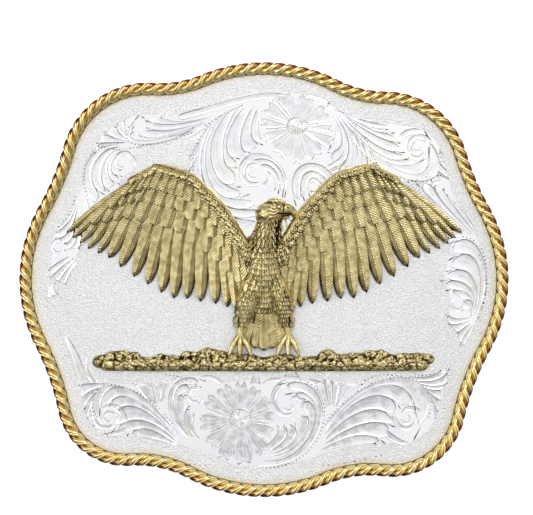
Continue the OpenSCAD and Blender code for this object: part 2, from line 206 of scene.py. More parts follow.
direction = sky_node("TexCoord").outputs["Generated"]
towards = sky_node("VectorMath", direction, brightest, operation="DOT_PRODUCT").outputs["Value"]
sideways = sky_node("SeparateXYZ", direction).outputs["X"]
squared = sky_node("Math", sideways, sideways, operation="MULTIPLY").outputs[0]
limited = sky_node("Math", squared, patch_limit, operation="MINIMUM").outputs[0]
widened = sky_node("Math", limited, patch_stretch, towards, operation="MULTIPLY_ADD").outputs[0]
shade = sky_node("ValToRGB", widened)
sky.links.new(shade.outputs["Color"], sky.nodes["Background"].inputs["Color"])
sky.nodes["Background"].inputs["Strength"].default_value = 1.0
stops = shade.color_ramp.elements
while len(stops) < len(sky_light):
    stops.new(0.5)
for stop, (place, colour) in zip(stops, sky_light):
    stop.position, stop.color = place, (*colour, 1)


# %% Soft boxes
def soft_box(name, place, size, power):
    """A square lamp at place that faces the buckle."""
    data = bpy.data.lights.new(name, "AREA")
    data.shape, data.size, data.energy = "SQUARE", size, power
    lamp = bpy.data.objects.new(name, data)
    lamp.location = place
    lamp.rotation_euler = (-Vector(place)).to_track_quat("-Z", "Y").to_euler()
    bpy.context.collection.objects.link(lamp)


soft_box("key_box", (0.22, 0.4, 0.6), 0.3, 0.8)
soft_box("fill_box", (-0.55, 0.15, 0.5), 0.4, 0.7)

# %% [markdown]
# ## Finishes
# Five finishes cover the buckle. Each starts from one Principled shader and gets its detail from a
# few nodes: grain and mottling in object coordinates, and dark lines, polish, painted shade and a
# painted reflection from values that the modelling stores in the mesh, so that they stay with the metal.


# %% A small kit for node materials
class Finish:
    """A metal material and short calls that add nodes to it."""

    def __init__(self, name):
        self.material = bpy.data.materials.new(name)
        self.material.use_nodes = True
        self.tree = self.material.node_tree
        self.shader = self.tree.nodes["Principled BSDF"]
        self.shader.inputs["Metallic"].default_value = 1.0
        self.coords = self.node("ShaderNodeTexCoord").outputs["Object"]

    def node(self, kind, **values):
        """A new node; each value goes to its setting or socket of that name."""
        made = self.tree.nodes.new(kind)
        for key, value in values.items():
            if hasattr(made, key):
                setattr(made, key, value)
            else:
                self.put(made.inputs[key.replace("_", " ").title()], value)
        return made

    def put(self, socket, value):
        """Sets a socket to a value, or links it to another socket."""
        if hasattr(value, "links"):
            self.tree.links.new(value, socket)
        else:
            socket.default_value = value

    def noise(self, scale, detail=3.0, rough=0.5):
        """Noise in object space; scale is in patches for each metre."""
        made = self.node("ShaderNodeTexNoise", scale=scale, detail=detail, roughness=rough)
        self.put(made.inputs["Vector"], self.coords)
        return made.outputs["Fac"]

    def ramp(self, value, low, high, low_out=0.0, high_out=1.0):
        """value stretched from low..high to low_out..high_out, and held at the ends."""
        made = self.node("ShaderNodeMapRange")
        for socket, v in zip(made.inputs[:5], (value, low, high, low_out, high_out)):
            self.put(socket, v)
        return made.outputs["Result"]

    def mix(self, share, a, b):
        """Colour a turning to colour b with share."""
        made = self.node("ShaderNodeMix", data_type="RGBA")
        self.put(made.inputs["Factor"], share)
        for socket, colour in zip((made.inputs[6], made.inputs[7]), (a, b)):
            self.put(socket, colour if hasattr(colour, "links") else (*colour, 1))
        return made.outputs[2]

    def maths(self, operation, a, b=0.0):
        """Arithmetic on two values, by the operation's name."""
        made = self.node("ShaderNodeMath", operation=operation)
        self.put(made.inputs[0], a)
        self.put(made.inputs[1], b)
        return made.outputs[0]

    def stored(self, name):
        """A value that the modelling stored on the mesh."""
        return self.node("ShaderNodeAttribute", attribute_name=name).outputs["Fac"]

    def bump(self, height, depth, strength=1.0, under=None):
        """Bump from a height socket; depth is the height in metres of the whole range."""
        made = self.node("ShaderNodeBump")
        made.inputs["Strength"].default_value = strength
        made.inputs["Distance"].default_value = depth
        self.put(made.inputs["Height"], height)
        if under is not None:
            self.put(made.inputs["Normal"], under)
        return made.outputs["Normal"]

    def finish(self, colour, roughness, normal):
        """Puts the finished colour, roughness and bump into the shader."""
        for socket, value in (("Base Color", colour), ("Roughness", roughness), ("Normal", normal)):
            self.put(self.shader.inputs[socket], value)
        return self.material


# %% Frosted silver of the ground
def make_frosted_silver():
    f = Finish("frosted_silver")
    grain = f.noise(3400, 2.0, 0.6)
    colour = f.mix(f.ramp(grain, 0.34, 0.6), (0.73, 0.73, 0.725), (0.992, 0.992, 0.988))
    colour = f.mix(f.ramp(f.noise(90), 0.35, 0.7, 0, 0.2), colour, (0.95, 0.945, 0.93))
    # A painted reflection of the rope's gold on the face, which fades away from the rope and is broken by
    # the grain
    near_rope = f.maths("POWER", f.stored("painted_rope_reflection"), 2.0)
    painted_reflection = f.maths("MULTIPLY", near_rope, f.ramp(f.noise(420), 0.3, 0.6, 0.15, 0.65))
    colour = f.mix(painted_reflection, colour, (0.90, 0.74, 0.40))
    normal = f.bump(grain, 0.0002, 0.9)
    return f.finish(colour, f.ramp(f.noise(260), 0.3, 0.7, 0.48, 0.56), normal)


frosted_silver = make_frosted_silver()


# %% Bright-cut silver of the scrollwork, with dark cut lines at its edges and painted shade in its hollows
def make_bright_silver():
    f = Finish("bright_silver")
    tint = f.mix(f.ramp(f.noise(150, 1.0), 0.4, 0.6), (0.955, 0.965, 0.99), (1.0, 0.992, 0.97))
    broken = f.ramp(f.noise(640, 2.0), 0.4, 0.58, 0.35, 1.0)
    # The stored value holds the dark cut lines, and also painted shade in hollows, on lower flanks and under
    # the flower rings
    line = f.maths("MULTIPLY", f.stored("cut_line_and_shade"), broken)
    colour = f.mix(line, tint, (0.05, 0.045, 0.035))
    streaks = f.noise(1500, 1.0)
    return f.finish(colour, f.ramp(line, 0, 1, 0.2, 0.5), f.bump(streaks, 0.00003, 0.6))


bright_silver = make_bright_silver()


# %% Gold plate of the rope, red-brown and black where the strands meet: partly patina, partly painted shade
def make_rope_gold():
    f = Finish("rope_gold")
    recess = f.stored("recess")
    gold = f.mix(f.ramp(f.noise(700, 2.0), 0.35, 0.65), (1.0, 0.78, 0.28), (1.0, 0.9, 0.5))
    warm = f.mix(f.ramp(recess, 0.14, 0.44), gold, (0.56, 0.26, 0.025))
    deep = f.mix(f.ramp(recess, 0.46, 0.66), warm, (0.30, 0.06, 0.015))
    colour = f.mix(f.ramp(recess, 0.7, 0.9), deep, (0.012, 0.008, 0.006))
    # Where the patina and painted shade are deepest the surface is taken as an oxide and not as metal, so it
    # stays dark at its edges too
    f.put(f.shader.inputs["Metallic"], f.ramp(recess, 0.7, 0.9, 1.0, 0.0))
    f.shader.inputs["Specular IOR Level"].default_value = 0.2
    rough = f.ramp(recess, 0.2, 0.9, 0.13, 0.5)
    return f.finish(colour, rough, f.bump(f.noise(2500, 1.0), 0.00002, 0.4))


rope_gold = make_rope_gold()


# %% Antiqued gold of the eagle, blackened in its recesses: partly patina, partly painted shade
def make_blackened_and_shaded_gold():
    f = Finish("blackened_and_shaded_gold")
    barbs = f.ramp(f.maths("SINE", f.stored("barb")), -1, 1, 0.5, -0.5)
    recess = f.maths("ADD", f.stored("recess"), f.maths("MULTIPLY", barbs, 0.3))
    mottle = f.noise(420, 3.0)
    # The stored recess is partly patina and partly painted shade; the mottling adds random dirt
    dirt_and_shade = f.maths("ADD", recess, f.ramp(mottle, 0.35, 0.75, -0.1, 0.16))
    rubbed = f.mix(f.ramp(f.noise(900, 2.0), 0.35, 0.65), (0.56, 0.45, 0.195), (0.80, 0.69, 0.365))
    brown = f.mix(f.ramp(dirt_and_shade, 0.12, 0.42), rubbed, (0.25, 0.185, 0.075))
    colour = f.mix(f.ramp(dirt_and_shade, 0.36, 0.68), brown, (0.015, 0.011, 0.006))
    rough = f.ramp(dirt_and_shade, 0.2, 0.8, 0.2, 0.55)
    lines = f.bump(f.maths("MULTIPLY", barbs, -1.0), 0.00012, 0.6)
    return f.finish(colour, rough, f.bump(f.noise(1800, 2.0), 0.00004, 0.6, lines))


blackened_and_shaded_gold = make_blackened_and_shaded_gold()


# %% Satin nickel of the loop and hook
def make_satin_nickel():
    f = Finish("satin_nickel")
    scuffs = f.noise(340, 4.0, 0.7)
    colour = f.mix(f.ramp(scuffs, 0.3, 0.7), (0.56, 0.55, 0.53), (0.72, 0.715, 0.70))
    return f.finish(colour, f.ramp(scuffs, 0.3, 0.7, 0.36, 0.24), f.bump(f.noise(3000, 1.0), 0.00002, 0.5))


satin_nickel = make_satin_nickel()
finishes = (frosted_silver, bright_silver, rope_gold, blackened_and_shaded_gold, satin_nickel)
print("finishes:", [m.name for m in finishes])

# %% [markdown]
# ## Plate
# The real plate is stamped from brass sheet, with a step pressed into its rim for the rope, and then
# plated. Here a filled circle is laid out on the outline, extruded to the step, inset, and extruded
# again to the face. Its rim is bevelled, and the plate is then cut across by a row of planes, so that
# moving each corner down by the bend gives a smooth curve. The underside is bent along with it.

# %% Small helpers for modelling
def settle():
    """Deselects everything, so that an operator acts on the new piece alone."""
    if bpy.context.object and bpy.context.object.mode != "OBJECT":
        bpy.ops.object.mode_set(mode="OBJECT")
    bpy.ops.object.select_all(action="DESELECT")


def select_faces(piece, test):
    """In edit mode, selects the faces whose centre and normal pass the test."""
    bpy.ops.mesh.select_mode(type="FACE")
    bpy.ops.mesh.select_all(action="DESELECT")
    mesh = bmesh.from_edit_mesh(piece.data)
    for face in mesh.faces:
        face.select_set(bool(test(face.calc_center_median(), face.normal)))
    bmesh.update_edit_mesh(piece.data)


def cut_across(step=2 * mm, planes=24):
    """In edit mode, cuts a piece across by a row of planes, so that it can follow the bend."""
    for k in range(-planes, planes + 1):
        bpy.ops.mesh.select_all(action="SELECT")
        bpy.ops.mesh.bisect(plane_co=(k * step, 0, 0), plane_no=(1, 0, 0))


def points_of(piece):
    """The places of a piece's points."""
    return np.array([v.co for v in piece.data.vertices])


def move_points(piece, co):
    """Moves a piece's points to the given places."""
    piece.data.vertices.foreach_set("co", co.ravel())


def lay_points(piece, plan, height):
    """Moves a piece's points to places of the plan, at heights above the face."""
    move_points(piece, np.column_stack([plan, face_z(plan[:, 0]) + height]))


def store(piece, name, values):
    """Stores a value at each point of a piece, for its finish to read."""
    kept = piece.data.attributes.get(name) or piece.data.attributes.new(name, "FLOAT", "POINT")
    kept.data.foreach_set("value", np.asarray(values, np.float32))


def copy_of(piece):
    """A copy of a piece, with a mesh of its own."""
    made = piece.copy()
    made.data = piece.data.copy()
    bpy.context.collection.objects.link(made)
    return made


def dress(piece, name, material):
    """Names a finished piece, gives it its finish and fixes it to the model's one body."""
    piece.name = piece.data.name = name
    piece.data.materials.clear()
    piece.data.materials.append(material)
    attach(piece, "root")
    top = max(v.co.z - float(face_z(v.co.x)) for v in piece.data.vertices)
    print(name, "has", sum(len(p.vertices) - 2 for p in piece.data.polygons), "triangles and stands",
          round(top / mm, 2), "mm over the face")


# %% Model the plate
rope_lift = rope_d / 2 + seat_gap - step_t
sheet_inset, face_inset = rope_d / 2 - 0.35 * mm, rope_d + seat_gap
rim_points, rim_bevel = 360, 0.15 * mm
reflection_width = 1.3 * mm

settle()
bpy.ops.mesh.primitive_circle_add(vertices=rim_points, radius=buckle_size.x / 2, fill_type="NGON")
plate = bpy.context.object
for corner, (x, y) in zip(plate.data.vertices, even_points(outline(-sheet_inset), rim_points)[0]):
    corner.co = (x, y, -plate_t)
bpy.ops.object.mode_set(mode="EDIT")
bpy.ops.mesh.select_all(action="SELECT")
bpy.ops.mesh.extrude_region_move(TRANSFORM_OT_translate={"value": (0, 0, plate_t - step_t)})
bpy.ops.mesh.inset(thickness=face_inset - sheet_inset)
bpy.ops.mesh.extrude_region_move(TRANSFORM_OT_translate={"value": (0, 0, step_t)})
bpy.ops.mesh.bevel(offset=rim_bevel, segments=3, affect="EDGES")
select_faces(plate, lambda middle, normal: normal.z > 0.9 and middle.length < 5 * mm)
bpy.ops.mesh.inset(thickness=reflection_width)
bpy.ops.mesh.select_all(action="SELECT")
bpy.ops.mesh.normals_make_consistent(inside=False)
cut_across()
bpy.ops.object.mode_set(mode="OBJECT")
# How near each point of the face lies to the rope, for the painted reflection of its gold
co = points_of(plate)
edge_path = outline(-face_inset, 40)
reach = np.array([np.min(np.hypot(*(edge_path - p[:2]).T)) for p in co])
store(plate, "painted_rope_reflection", np.clip(1.05 - reach / reflection_width, 0, 1) * (co[:, 2] > -0.2 * mm))
lay_points(plate, co[:, :2], co[:, 2])
bpy.ops.object.shade_smooth_by_angle(angle=math.radians(30))
dress(plate, "silver_plate", frosted_silver)
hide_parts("plate")

# %% [markdown]
# ## Scrollwork leaves
# Western scrollwork is cut as long leaves that part from a stem, each hollowed along its middle with a
# bright rim, a dark cut line at its foot and painted shade on the lower flank of its ridges. All leaves have
# the same section and differ only in
# their course, so one straight leaf is modelled from a grid: across it a dark foot, a rim and a
# hollow, and along it a rounded tip. Each leaf is then a copy of it, laid along its own strokes. A
# fan has two or more guide strokes, and its leaves share out the room between them.

# %% The courses of the leaves, in millimetres
# Each fan: how many leaves, then strokes from its outermost edge to its innermost one. A stroke is x
# and y of its start, of its two handles and of its end.
scroll_fans = [
    # Great scroll on the left of the top flower
    (8, (-6, 35.3, -19.5, 29, -15.5, 11, -0.4, 12.6), (-6, 35.5, -18, 29.5, -13.5, 10.2, 0.1, 15.2),
     (-5.8, 35.6, -16, 30, -12.5, 13.5, -3.9, 17), (-5.5, 35.6, -13.5, 30.5, -12, 19, -5.4, 18.9),
     (-4.5, 35.7, -9.5, 31.5, -9.5, 22, -5.8, 22.8), (-3.5, 35.8, -8.2, 31.5, -9.2, 25, -5.4, 24.7),
     (-1.5, 36, -5, 32.5, -6, 26.5, -3, 25.9), (-0.6, 36, -3.2, 32.5, -3.6, 28.6, -0.5, 27.6),
     (0.2, 35.4, -1.2, 33.6, -1.6, 31.4, -0.6, 29.2)),
    # The lobe round its eye
    (3, (-5.7, 21.6, -5.6, 28.5, 6.4, 27, 4.4, 17.4), (-2.6, 24.2, -0.6, 25.6, 5, 25, 3.9, 17.6),
     (-1.2, 23.2, 0.6, 24.6, 3.8, 22.6, 3, 18), (-0.4, 22.5, 0.8, 22.4, 2.6, 21.6, 2.2, 18.6)),
    # Great scroll on the right of the flower
    (5, (14.6, 34.4, 26.5, 28, 27, 8, 6.6, 11.6), (14.4, 34.4, 24.5, 28.6, 24, 10.5, 9, 14),
     (14.2, 34.4, 22.5, 29, 22.8, 14, 13.6, 16.6), (14, 34.5, 20, 30.4, 21.4, 21, 15.6, 19.2),
     (13.8, 34.5, 17.6, 31, 19, 24.4, 14.3, 22.3), (13.6, 34.3, 16, 31.4, 17.4, 26, 13.2, 26.4)),
    # The lobe round its eye
    (3, (14.3, 19.4, 14.6, 25.6, 3, 26.4, 6.2, 15.8), (12.6, 19.6, 12, 23.6, 5.6, 23.4, 8, 16.8),
     (12.2, 20.2, 10.8, 22, 8, 20.8, 9.2, 17.4), (11, 19.8, 10, 20.6, 8.4, 19.6, 9.8, 18)),
    # Small scroll between them, and the leaves that hang below
    (3, (1, 16.6, 6.5, 14, 6.4, 4.6, -2.6, 5.4), (0.8, 16.4, 4.6, 13.6, 4, 7.4, 0.2, 7.6),
     (0.6, 16.2, 2.6, 13.8, 2.4, 11.4, 0.2, 10.4), (0.2, 15.8, -1.2, 14.4, -1.2, 12.4, -0.6, 11.4)),
    (2, (-9.8, 14, -8.4, 11.6, -6.8, 9.4, -6, 7.2), (-9, 14, -7.4, 12.2, -6, 11.4, -4.8, 10.2),
     (-8.2, 14, -6.4, 12.8, -4, 12, -1, 12)),
    (8, (9, 10.4, 7, 10.6, 5.4, 9.6, 3.4, 6.6), (14, 9.8, 13.6, 8.4, 12, 6, 10, 4.6),
     (21.6, 14, 21.8, 11.4, 21.4, 9, 20.6, 6.8)),
    (3, (4.6, 13.4, 7, 11.6, 12, 9, 21, 14.4), (5, 11, 8, 10.4, 12, 8.8, 21, 13)),
    # Top left
    (1, (5.6, 37.5, 0, 40, -9, 35.5, -18, 34), (4, 37, -4, 37.4, -12, 33.4, -17.8, 32.4)),
    (5, (-11.6, 31.8, -21, 26.6, -33, 25.6, -26, 33.4), (-11.4, 32, -20, 28.4, -29.6, 27, -27, 31),
     (-11.2, 32.4, -16.6, 30.6, -22, 28, -25.4, 29.4), (-10.8, 32.8, -16, 31.2, -20, 29.8, -23.8, 31),
     (-10.2, 33.2, -17, 31.8, -22, 31, -24.8, 33.2), (-9.6, 33.6, -15, 32.4, -18.4, 31.8, -20.6, 33.2)),
    (4, (-28.8, 27.6, -30.6, 27.4, -32.6, 26.8, -34.8, 25.8),
     (-27.8, 28.2, -30, 28.2, -32, 28.2, -34.2, 28), (-27.6, 28.5, -29.6, 28.6, -31.4, 29.2, -32.6, 30.2),
     (-27.8, 28.8, -29, 29.6, -30.4, 30.4, -30.2, 31.8), (-28, 29, -28.4, 30.4, -28.8, 31.6, -28.4, 32.9)),
    # Left
    (5, (-26.4, 27.2, -38, 30.2, -38.6, 19.5, -34.6, 15), (-26.6, 27, -35.6, 28.8, -37.4, 20, -33.2, 17.6),
     (-26.8, 26.8, -33.4, 28, -34.8, 20.6, -32, 18.2), (-27, 26.6, -32.6, 27.2, -33.6, 21.4, -30, 19.7),
     (-27.2, 26.4, -31.8, 26.8, -32.8, 21.4, -29.4, 21.2),
     (-27.4, 25.6, -30, 26, -30.8, 23.6, -29.4, 22.6)),
    (2, (-37, 18.6, -38.4, 8.4, -26.6, 8.6, -29.6, 16.6), (-36.4, 18.8, -37, 11.4, -30.6, 10.6, -31, 14.4),
     (-36, 18.6, -36, 16, -35.2, 14.8, -33.4, 14.2)),
    (6, (-38.5, 17.4, -39.4, 14, -40.4, 12.4, -42.2, 11), (-38.4, 16.6, -39, 13, -40.6, 11, -42.6, 9.8),
     (-38.2, 16, -38.8, 11.4, -40.4, 8.4, -42.8, 8.4), (-38, 15.4, -38.4, 10, -39.6, 7.6, -41, 7.4),
     (-37.8, 15, -38, 9.6, -38.6, 6.4, -41, 6), (-37.6, 14.6, -37.4, 11, -37.2, 8.4, -38, 6.4),
     (-37.4, 14.2, -36.8, 12, -36.2, 10, -35, 9.2)),
    # Bottom left
    (6, (-16, -33.6, -27, -16, -41, -20, -32.4, -32), (-16, -33.8, -25, -20.6, -33.4, -18.5, -33.8, -27.2),
     (-16.2, -34, -23.5, -24.5, -30.5, -21.5, -31.6, -25.8),
     (-16.4, -34.1, -22, -27.5, -27.5, -24, -29.8, -26.8),
     (-16.6, -34.3, -21, -29.5, -26.5, -26.4, -31, -31),
     (-16.8, -34.4, -20.5, -32, -24.5, -28.6, -27.8, -31.7),
     (-17, -34.3, -20, -33.2, -23.5, -32.6, -26, -31.9)),
    (3, (-31, -21.3, -34, -21.2, -36, -21.2, -38, -21.6),
     (-32.5, -21.8, -35, -22.4, -36, -22.8, -37.2, -24.2),
     (-33.6, -22.6, -35.4, -23.6, -36.2, -24.8, -36.9, -26.6),
     (-34.8, -24, -35.6, -26, -35.8, -27.4, -36.2, -28.6)),
    (3, (-23.4, -25.8, -24.6, -23.8, -25.6, -22.6, -27, -21.3),
     (-22, -25.8, -22.6, -24, -22.4, -22.6, -23, -21.3),
     (-21, -25.4, -20.8, -23.6, -20.6, -22.4, -21, -21.2),
     (-20.2, -24.8, -20.2, -22.8, -19.8, -21.4, -18, -20.2)),
    (4, (-12.8, -34.2, -23, -29, -21, -17.5, -12.4, -20.4),
     (-12.8, -34, -20.5, -29, -19.6, -19, -14.4, -22),
     (-12.8, -33.8, -18.4, -29.6, -19, -22.4, -16.2, -23.6),
     (-12.7, -33.4, -16.2, -31, -17.2, -27, -15.4, -26),
     (-12.7, -32.8, -14.2, -31.6, -15, -29.6, -14.2, -27.8)),
    # Bottom right
    (6, (-3.4, -38, 15, -41, 16.5, -17.5, 3.5, -21), (-1.4, -36.9, 11.5, -39, 14.5, -20.5, 5.2, -23.2),
     (-1, -36.4, 10, -38, 13.5, -24.5, 7.6, -24.3), (-0.6, -36, 7.5, -37.2, 11.2, -27, 8, -27.8),
     (0.6, -35.6, 5.6, -35, 8.2, -31, 5.6, -29.7), (0.6, -35.2, 3.8, -34, 5.6, -31.6, 4.2, -29.9),
     (0.4, -34, 1.8, -32.6, 3.4, -31.4, 2.6, -30)),
    (6, (10.4, -34, 18, -15.5, 41.5, -16, 31.5, -32.5), (10.6, -34, 19, -19.5, 29.5, -18.5, 31, -26.2),
     (10.8, -34.2, 17.5, -23, 24.5, -21.6, 27.7, -26), (11, -34.4, 16.5, -27, 23, -24.6, 26.2, -28.2),
     (11, -34.7, 15.5, -31, 21.5, -27.6, 26.4, -30), (10.6, -35.2, 15, -33, 20.5, -30, 24.4, -33.2),
     (9.6, -36, 14, -34.6, 18, -33.4, 22.4, -33.6)),
    (6, (29.6, -20, 33, -20.2, 35, -19.8, 36, -18.7), (30.6, -20.6, 33.6, -21.2, 36.4, -21, 38, -18.6),
     (31.6, -21.2, 34, -22, 36, -22, 37.6, -21.4), (32.4, -22, 34, -22.6, 35.4, -22.8, 36.6, -22.6),
     (33, -22.6, 34.4, -23.6, 35.2, -24.2, 36.2, -24.8), (33.8, -23.8, 34.8, -25, 35.2, -26, 35.7, -27),
     (34.4, -25.4, 35, -26.8, 35.2, -27.8, 35.2, -28.6)),
    (4, (12.8, -26.8, 12, -24.6, 11.2, -22.8, 10.4, -21.4),
     (13.6, -26.4, 13, -24, 12.6, -22.4, 12.4, -20.6), (14, -26.4, 14, -24, 14, -22.4, 13.9, -20.8),
     (14.6, -26.6, 15, -24.6, 15, -22.8, 15.8, -21.2), (15, -26.4, 16.4, -24, 18, -22.2, 20.4, -21.5)),
    # Top right
    (7, (15, 34.4, 20, 18.5, 44, 14.5, 33.5, 30.2), (15, 34.4, 18.5, 28, 34.4, 14.8, 34, 26),
     (15, 34.4, 18, 30, 24.5, 20.6, 32.2, 24.2), (15, 34.4, 18, 30.6, 23.5, 23.4, 29.2, 24.6),
     (15, 34.5, 18.5, 31.2, 23, 26, 28.4, 26), (15, 34.6, 19, 31.8, 23.5, 28.6, 27.6, 28),
     (15, 34.7, 18.5, 32.6, 22.5, 29.8, 26.4, 30), (15.4, 34.6, 18.5, 32.8, 21.5, 30.8, 25, 30.9)),
    (1, (13, 35.4, 17.5, 34, 20.5, 32, 25.6, 31.8), (15.4, 34.4, 18.5, 32.8, 21.5, 30.6, 25.4, 31)),
    # Right
    (3, (43.8, 8, 41, 10.5, 36, 15, 31.4, 19.4), (43.9, 8.2, 41.4, 11.5, 35.6, 15.6, 34.4, 20.2),
     (44, 8.4, 42, 12, 38.5, 15, 37, 18.4), (44.2, 8.6, 43, 12, 40.6, 14.6, 39.4, 15.6)),
    (6, (42.8, -9.6, 47.5, -2, 46.5, 11, 38.4, 8), (42.6, -9.4, 46, -2, 45, 8.5, 38.6, 4.4),
     (42.6, -9.2, 45, -2, 43.5, 3.5, 38, 1.8), (42.6, -9, 44.6, -3, 42.5, 0.5, 36.8, -0.2),
     (42.6, -8.8, 44.2, -4, 42, -1.6, 37.8, -2.2), (42.6, -8.6, 43.6, -5, 42.8, -3.4, 41.2, -4.4),
     (42.4, -8.4, 43, -6.4, 42.4, -5.4, 40.6, -6.6)),
]

# Eye of each scroll: x, y, radius, angle it starts at, turn as it winds in, width
scroll_eyes = [
    (-1.8, 21.7, 3.2, 95, 200, 1.6), (-2.1, 21.9, 1.7, 60, 250, 0.9), (-1, 21.2, 2.4, -70, 120, 1.2),
    (10, 18.8, 2.9, 110, -200, 1.5), (10.2, 18.9, 1.5, 120, -260, 0.8), (9, 18.6, 2.4, 240, -120, 1.1),
    (-0.6, 8.6, 1.6, 60, 260, 0.9), (-28.8, 24.2, 2, -20, 300, 1.2), (-31.6, 15.6, 1.5, 120, -300, 0.8),
    (-42.3, 6.6, 1.5, 60, 300, 0.8), (-31.8, -28.4, 3.2, -20, 150, 1.5), (-32, -28.4, 2.7, 170, 140, 1.4),
    (-31.8, -28.4, 1.2, 20, 300, 0.8), (-14, -23.8, 1.7, 60, 260, 0.9),
    (-13.4, -24.6, 0.8, 200, 260, 0.5), (5.2, -25, 3.9, 100, 190, 1.5), (6.4, -25.6, 2, -30, 160, 1.4),
    (5, -26, 1, 150, 260, 0.7), (29.4, -28.4, 2.7, 150, 190, 1.2), (29.6, -28.2, 2.2, 20, 130, 1.3),
    (29.2, -28.6, 1, 150, 300, 0.6), (31.6, 27, 2.6, 30, 180, 1.3), (31.6, 26.8, 2.2, 200, 140, 1),
    (31.4, 27, 1, 90, 300, 0.7), (39.8, 5.9, 2, 10, 320, 0.8), (39.8, 6.2, 0.9, 60, 300, 0.6),
    (39.9, -5, 1.6, 130, 230, 0.9), (35.8, 18.6, 1.6, 60, 300, 0.8), (36.4, 17.8, 0.8, 200, 260, 0.5),
]

# Small leaves that fill the corners of the design
small_fans = [
    (1, (-13.8, 31.8, -15, 30.6, -16.6, 29.6, -18.4, 29.2),
     (-12, 31.2, -14, 29.4, -16, 28.4, -18.2, 28.9)),
    (3, (-13.2, 28.4, -13.8, 27.6, -14.4, 26.6, -15, 25.6),
     (-13.6, 24.8, -14, 23.6, -14.6, 22, -15.4, 20.8), (-13.2, 20.4, -13.6, 19.2, -13.8, 18, -14, 17)),
    (3, (-39.4, 5, -41.5, 4.2, -43, 3.4, -44.4, 2), (-39.2, 4.6, -41, 3.2, -42.6, 1.8, -43.8, 0.6),
     (-38.8, 4.2, -40.4, 2.4, -41.6, 0.8, -42.2, -0.6), (-38.4, 3.6, -39.6, 2, -40.4, 0.4, -40.8, -1)),
    (1, (-37.8, -21.6, -39, -19, -39.4, -15, -41.2, -11.6),
     (-35.6, -21.4, -37, -18.6, -37.8, -15, -40.8, -11.2)),
    (1, (-35, -21.4, -36.8, -20.4, -37.6, -17.8, -36.6, -15.8),
     (-33.8, -21.4, -35.6, -20.2, -36.8, -18, -36.2, -16)),
    (1, (-27.4, -29.4, -29.4, -31, -31, -31.4, -33.4, -31.6),
     (-27.6, -31.4, -29.4, -31.6, -30.6, -32.2, -32.8, -32.2)),
    (1, (24.8, -30.6, 26, -31.2, 27.6, -33, 29.6, -33.3), (24.4, -31.4, 25.2, -33, 27, -34, 29.4, -33.8)),
    (1, (4, -20, 4.4, -19.2, 5, -18.4, 5.5, -17.2), (7.6, -20.2, 6.8, -19.6, 6.3, -18.8, 5.9, -17.4)),
    (1, (27.6, 29.2, 28.6, 31, 30.4, 31.4, 32.2, 30.8), (28.2, 28.8, 29.6, 29.6, 30.8, 30, 32, 30.2)),
    (2, (28.4, 21, 26.4, 21.6, 24.4, 22.4, 23, 24), (28, 20.6, 26, 20.8, 24.4, 21.2, 22.8, 21.6),
     (27.6, 20, 25.6, 20, 24.2, 19.6, 23.2, 18.6)),
    (2, (35.8, 26.8, 36.6, 26.2, 37, 25.4, 36.9, 24.2), (35.7, 24.4, 36.2, 23.8, 36.8, 23.2, 37.4, 22.6),
     (35, 22.6, 36, 22.2, 36.8, 21.6, 37.7, 20.8)),
    (2, (41.8, 9.6, 40, 10.6, 38.6, 11.8, 36.8, 13), (41.4, 9.2, 39.6, 9.8, 38.4, 10.4, 37, 11.2),
     (41, 8.8, 39.8, 8.8, 38.8, 8.8, 37.8, 8)),
    (4, (43.2, -7.8, 41, -8, 39, -8.4, 37.4, -7), (43.2, -8, 41, -8.8, 39.4, -9.4, 38, -9.2),
     (43.3, -8.2, 41.6, -9.6, 40.6, -10.2, 39.8, -11), (43.4, -8.4, 42, -10.4, 40.8, -11.6, 40.4, -13.6),
     (43.4, -8.8, 43, -10.6, 41.8, -12.4, 41.2, -13.4)),
    (1, (-7.8, -21.6, -9.6, -19.4, -11.6, -19.3, -13.1, -19.9),
     (-8.6, -22, -9.8, -20.4, -11.4, -20, -12.9, -20.4)),
    (1, (-0.8, -21.6, 0.4, -20.2, 2, -19.9, 3.6, -20.2),
     (-0.2, -21.8, 0.8, -20.9, 2.2, -20.9, 3.4, -20.8)),
    (1, (12, -21.2, 11, -20.4, 10, -20.4, 9, -20.5), (11.6, -21.8, 10.6, -21.6, 9.8, -21.3, 9.2, -20.9)),
    (1, (-3, -21.6, -2.6, -20.2, -2, -19.4, -1.6, -19.2),
     (-0.6, -21.6, -0.9, -20.6, -1.1, -19.8, -1.4, -19.3)),
    (2, (-44.2, -1.4, -44.6, -2, -44.6, -2.8, -44.2, -3.8),
     (-43.6, -1.2, -43.2, -2, -42.8, -2.6, -42.2, -3)),
    (2, (8.6, 38, 10.4, 37.8, 11.8, 37.4, 13.4, 36.4), (8.4, 37.4, 10.4, 37, 12, 36.4, 13, 35.6)),
    (2, (3.4, 38, 2.4, 37.4, 1.8, 36.8, 1.4, 35.8), (4.6, 37.6, 3.6, 36.8, 3, 36.4, 2.4, 35.2)),
    (2, (14.4, 32.6, 15.6, 30.6, 15.8, 27.8, 13.4, 26.6), (14, 32, 14.8, 30.4, 14.8, 28.4, 13.6, 27.4)),
    (2, (12.6, 23.2, 14, 24, 15.6, 24.6, 16.2, 26), (13.4, 21.6, 14.4, 22, 15.6, 22, 17, 23)),
]
print(sum(f[0] for f in scroll_fans + small_fans), "leaves and", len(scroll_eyes), "eyes")

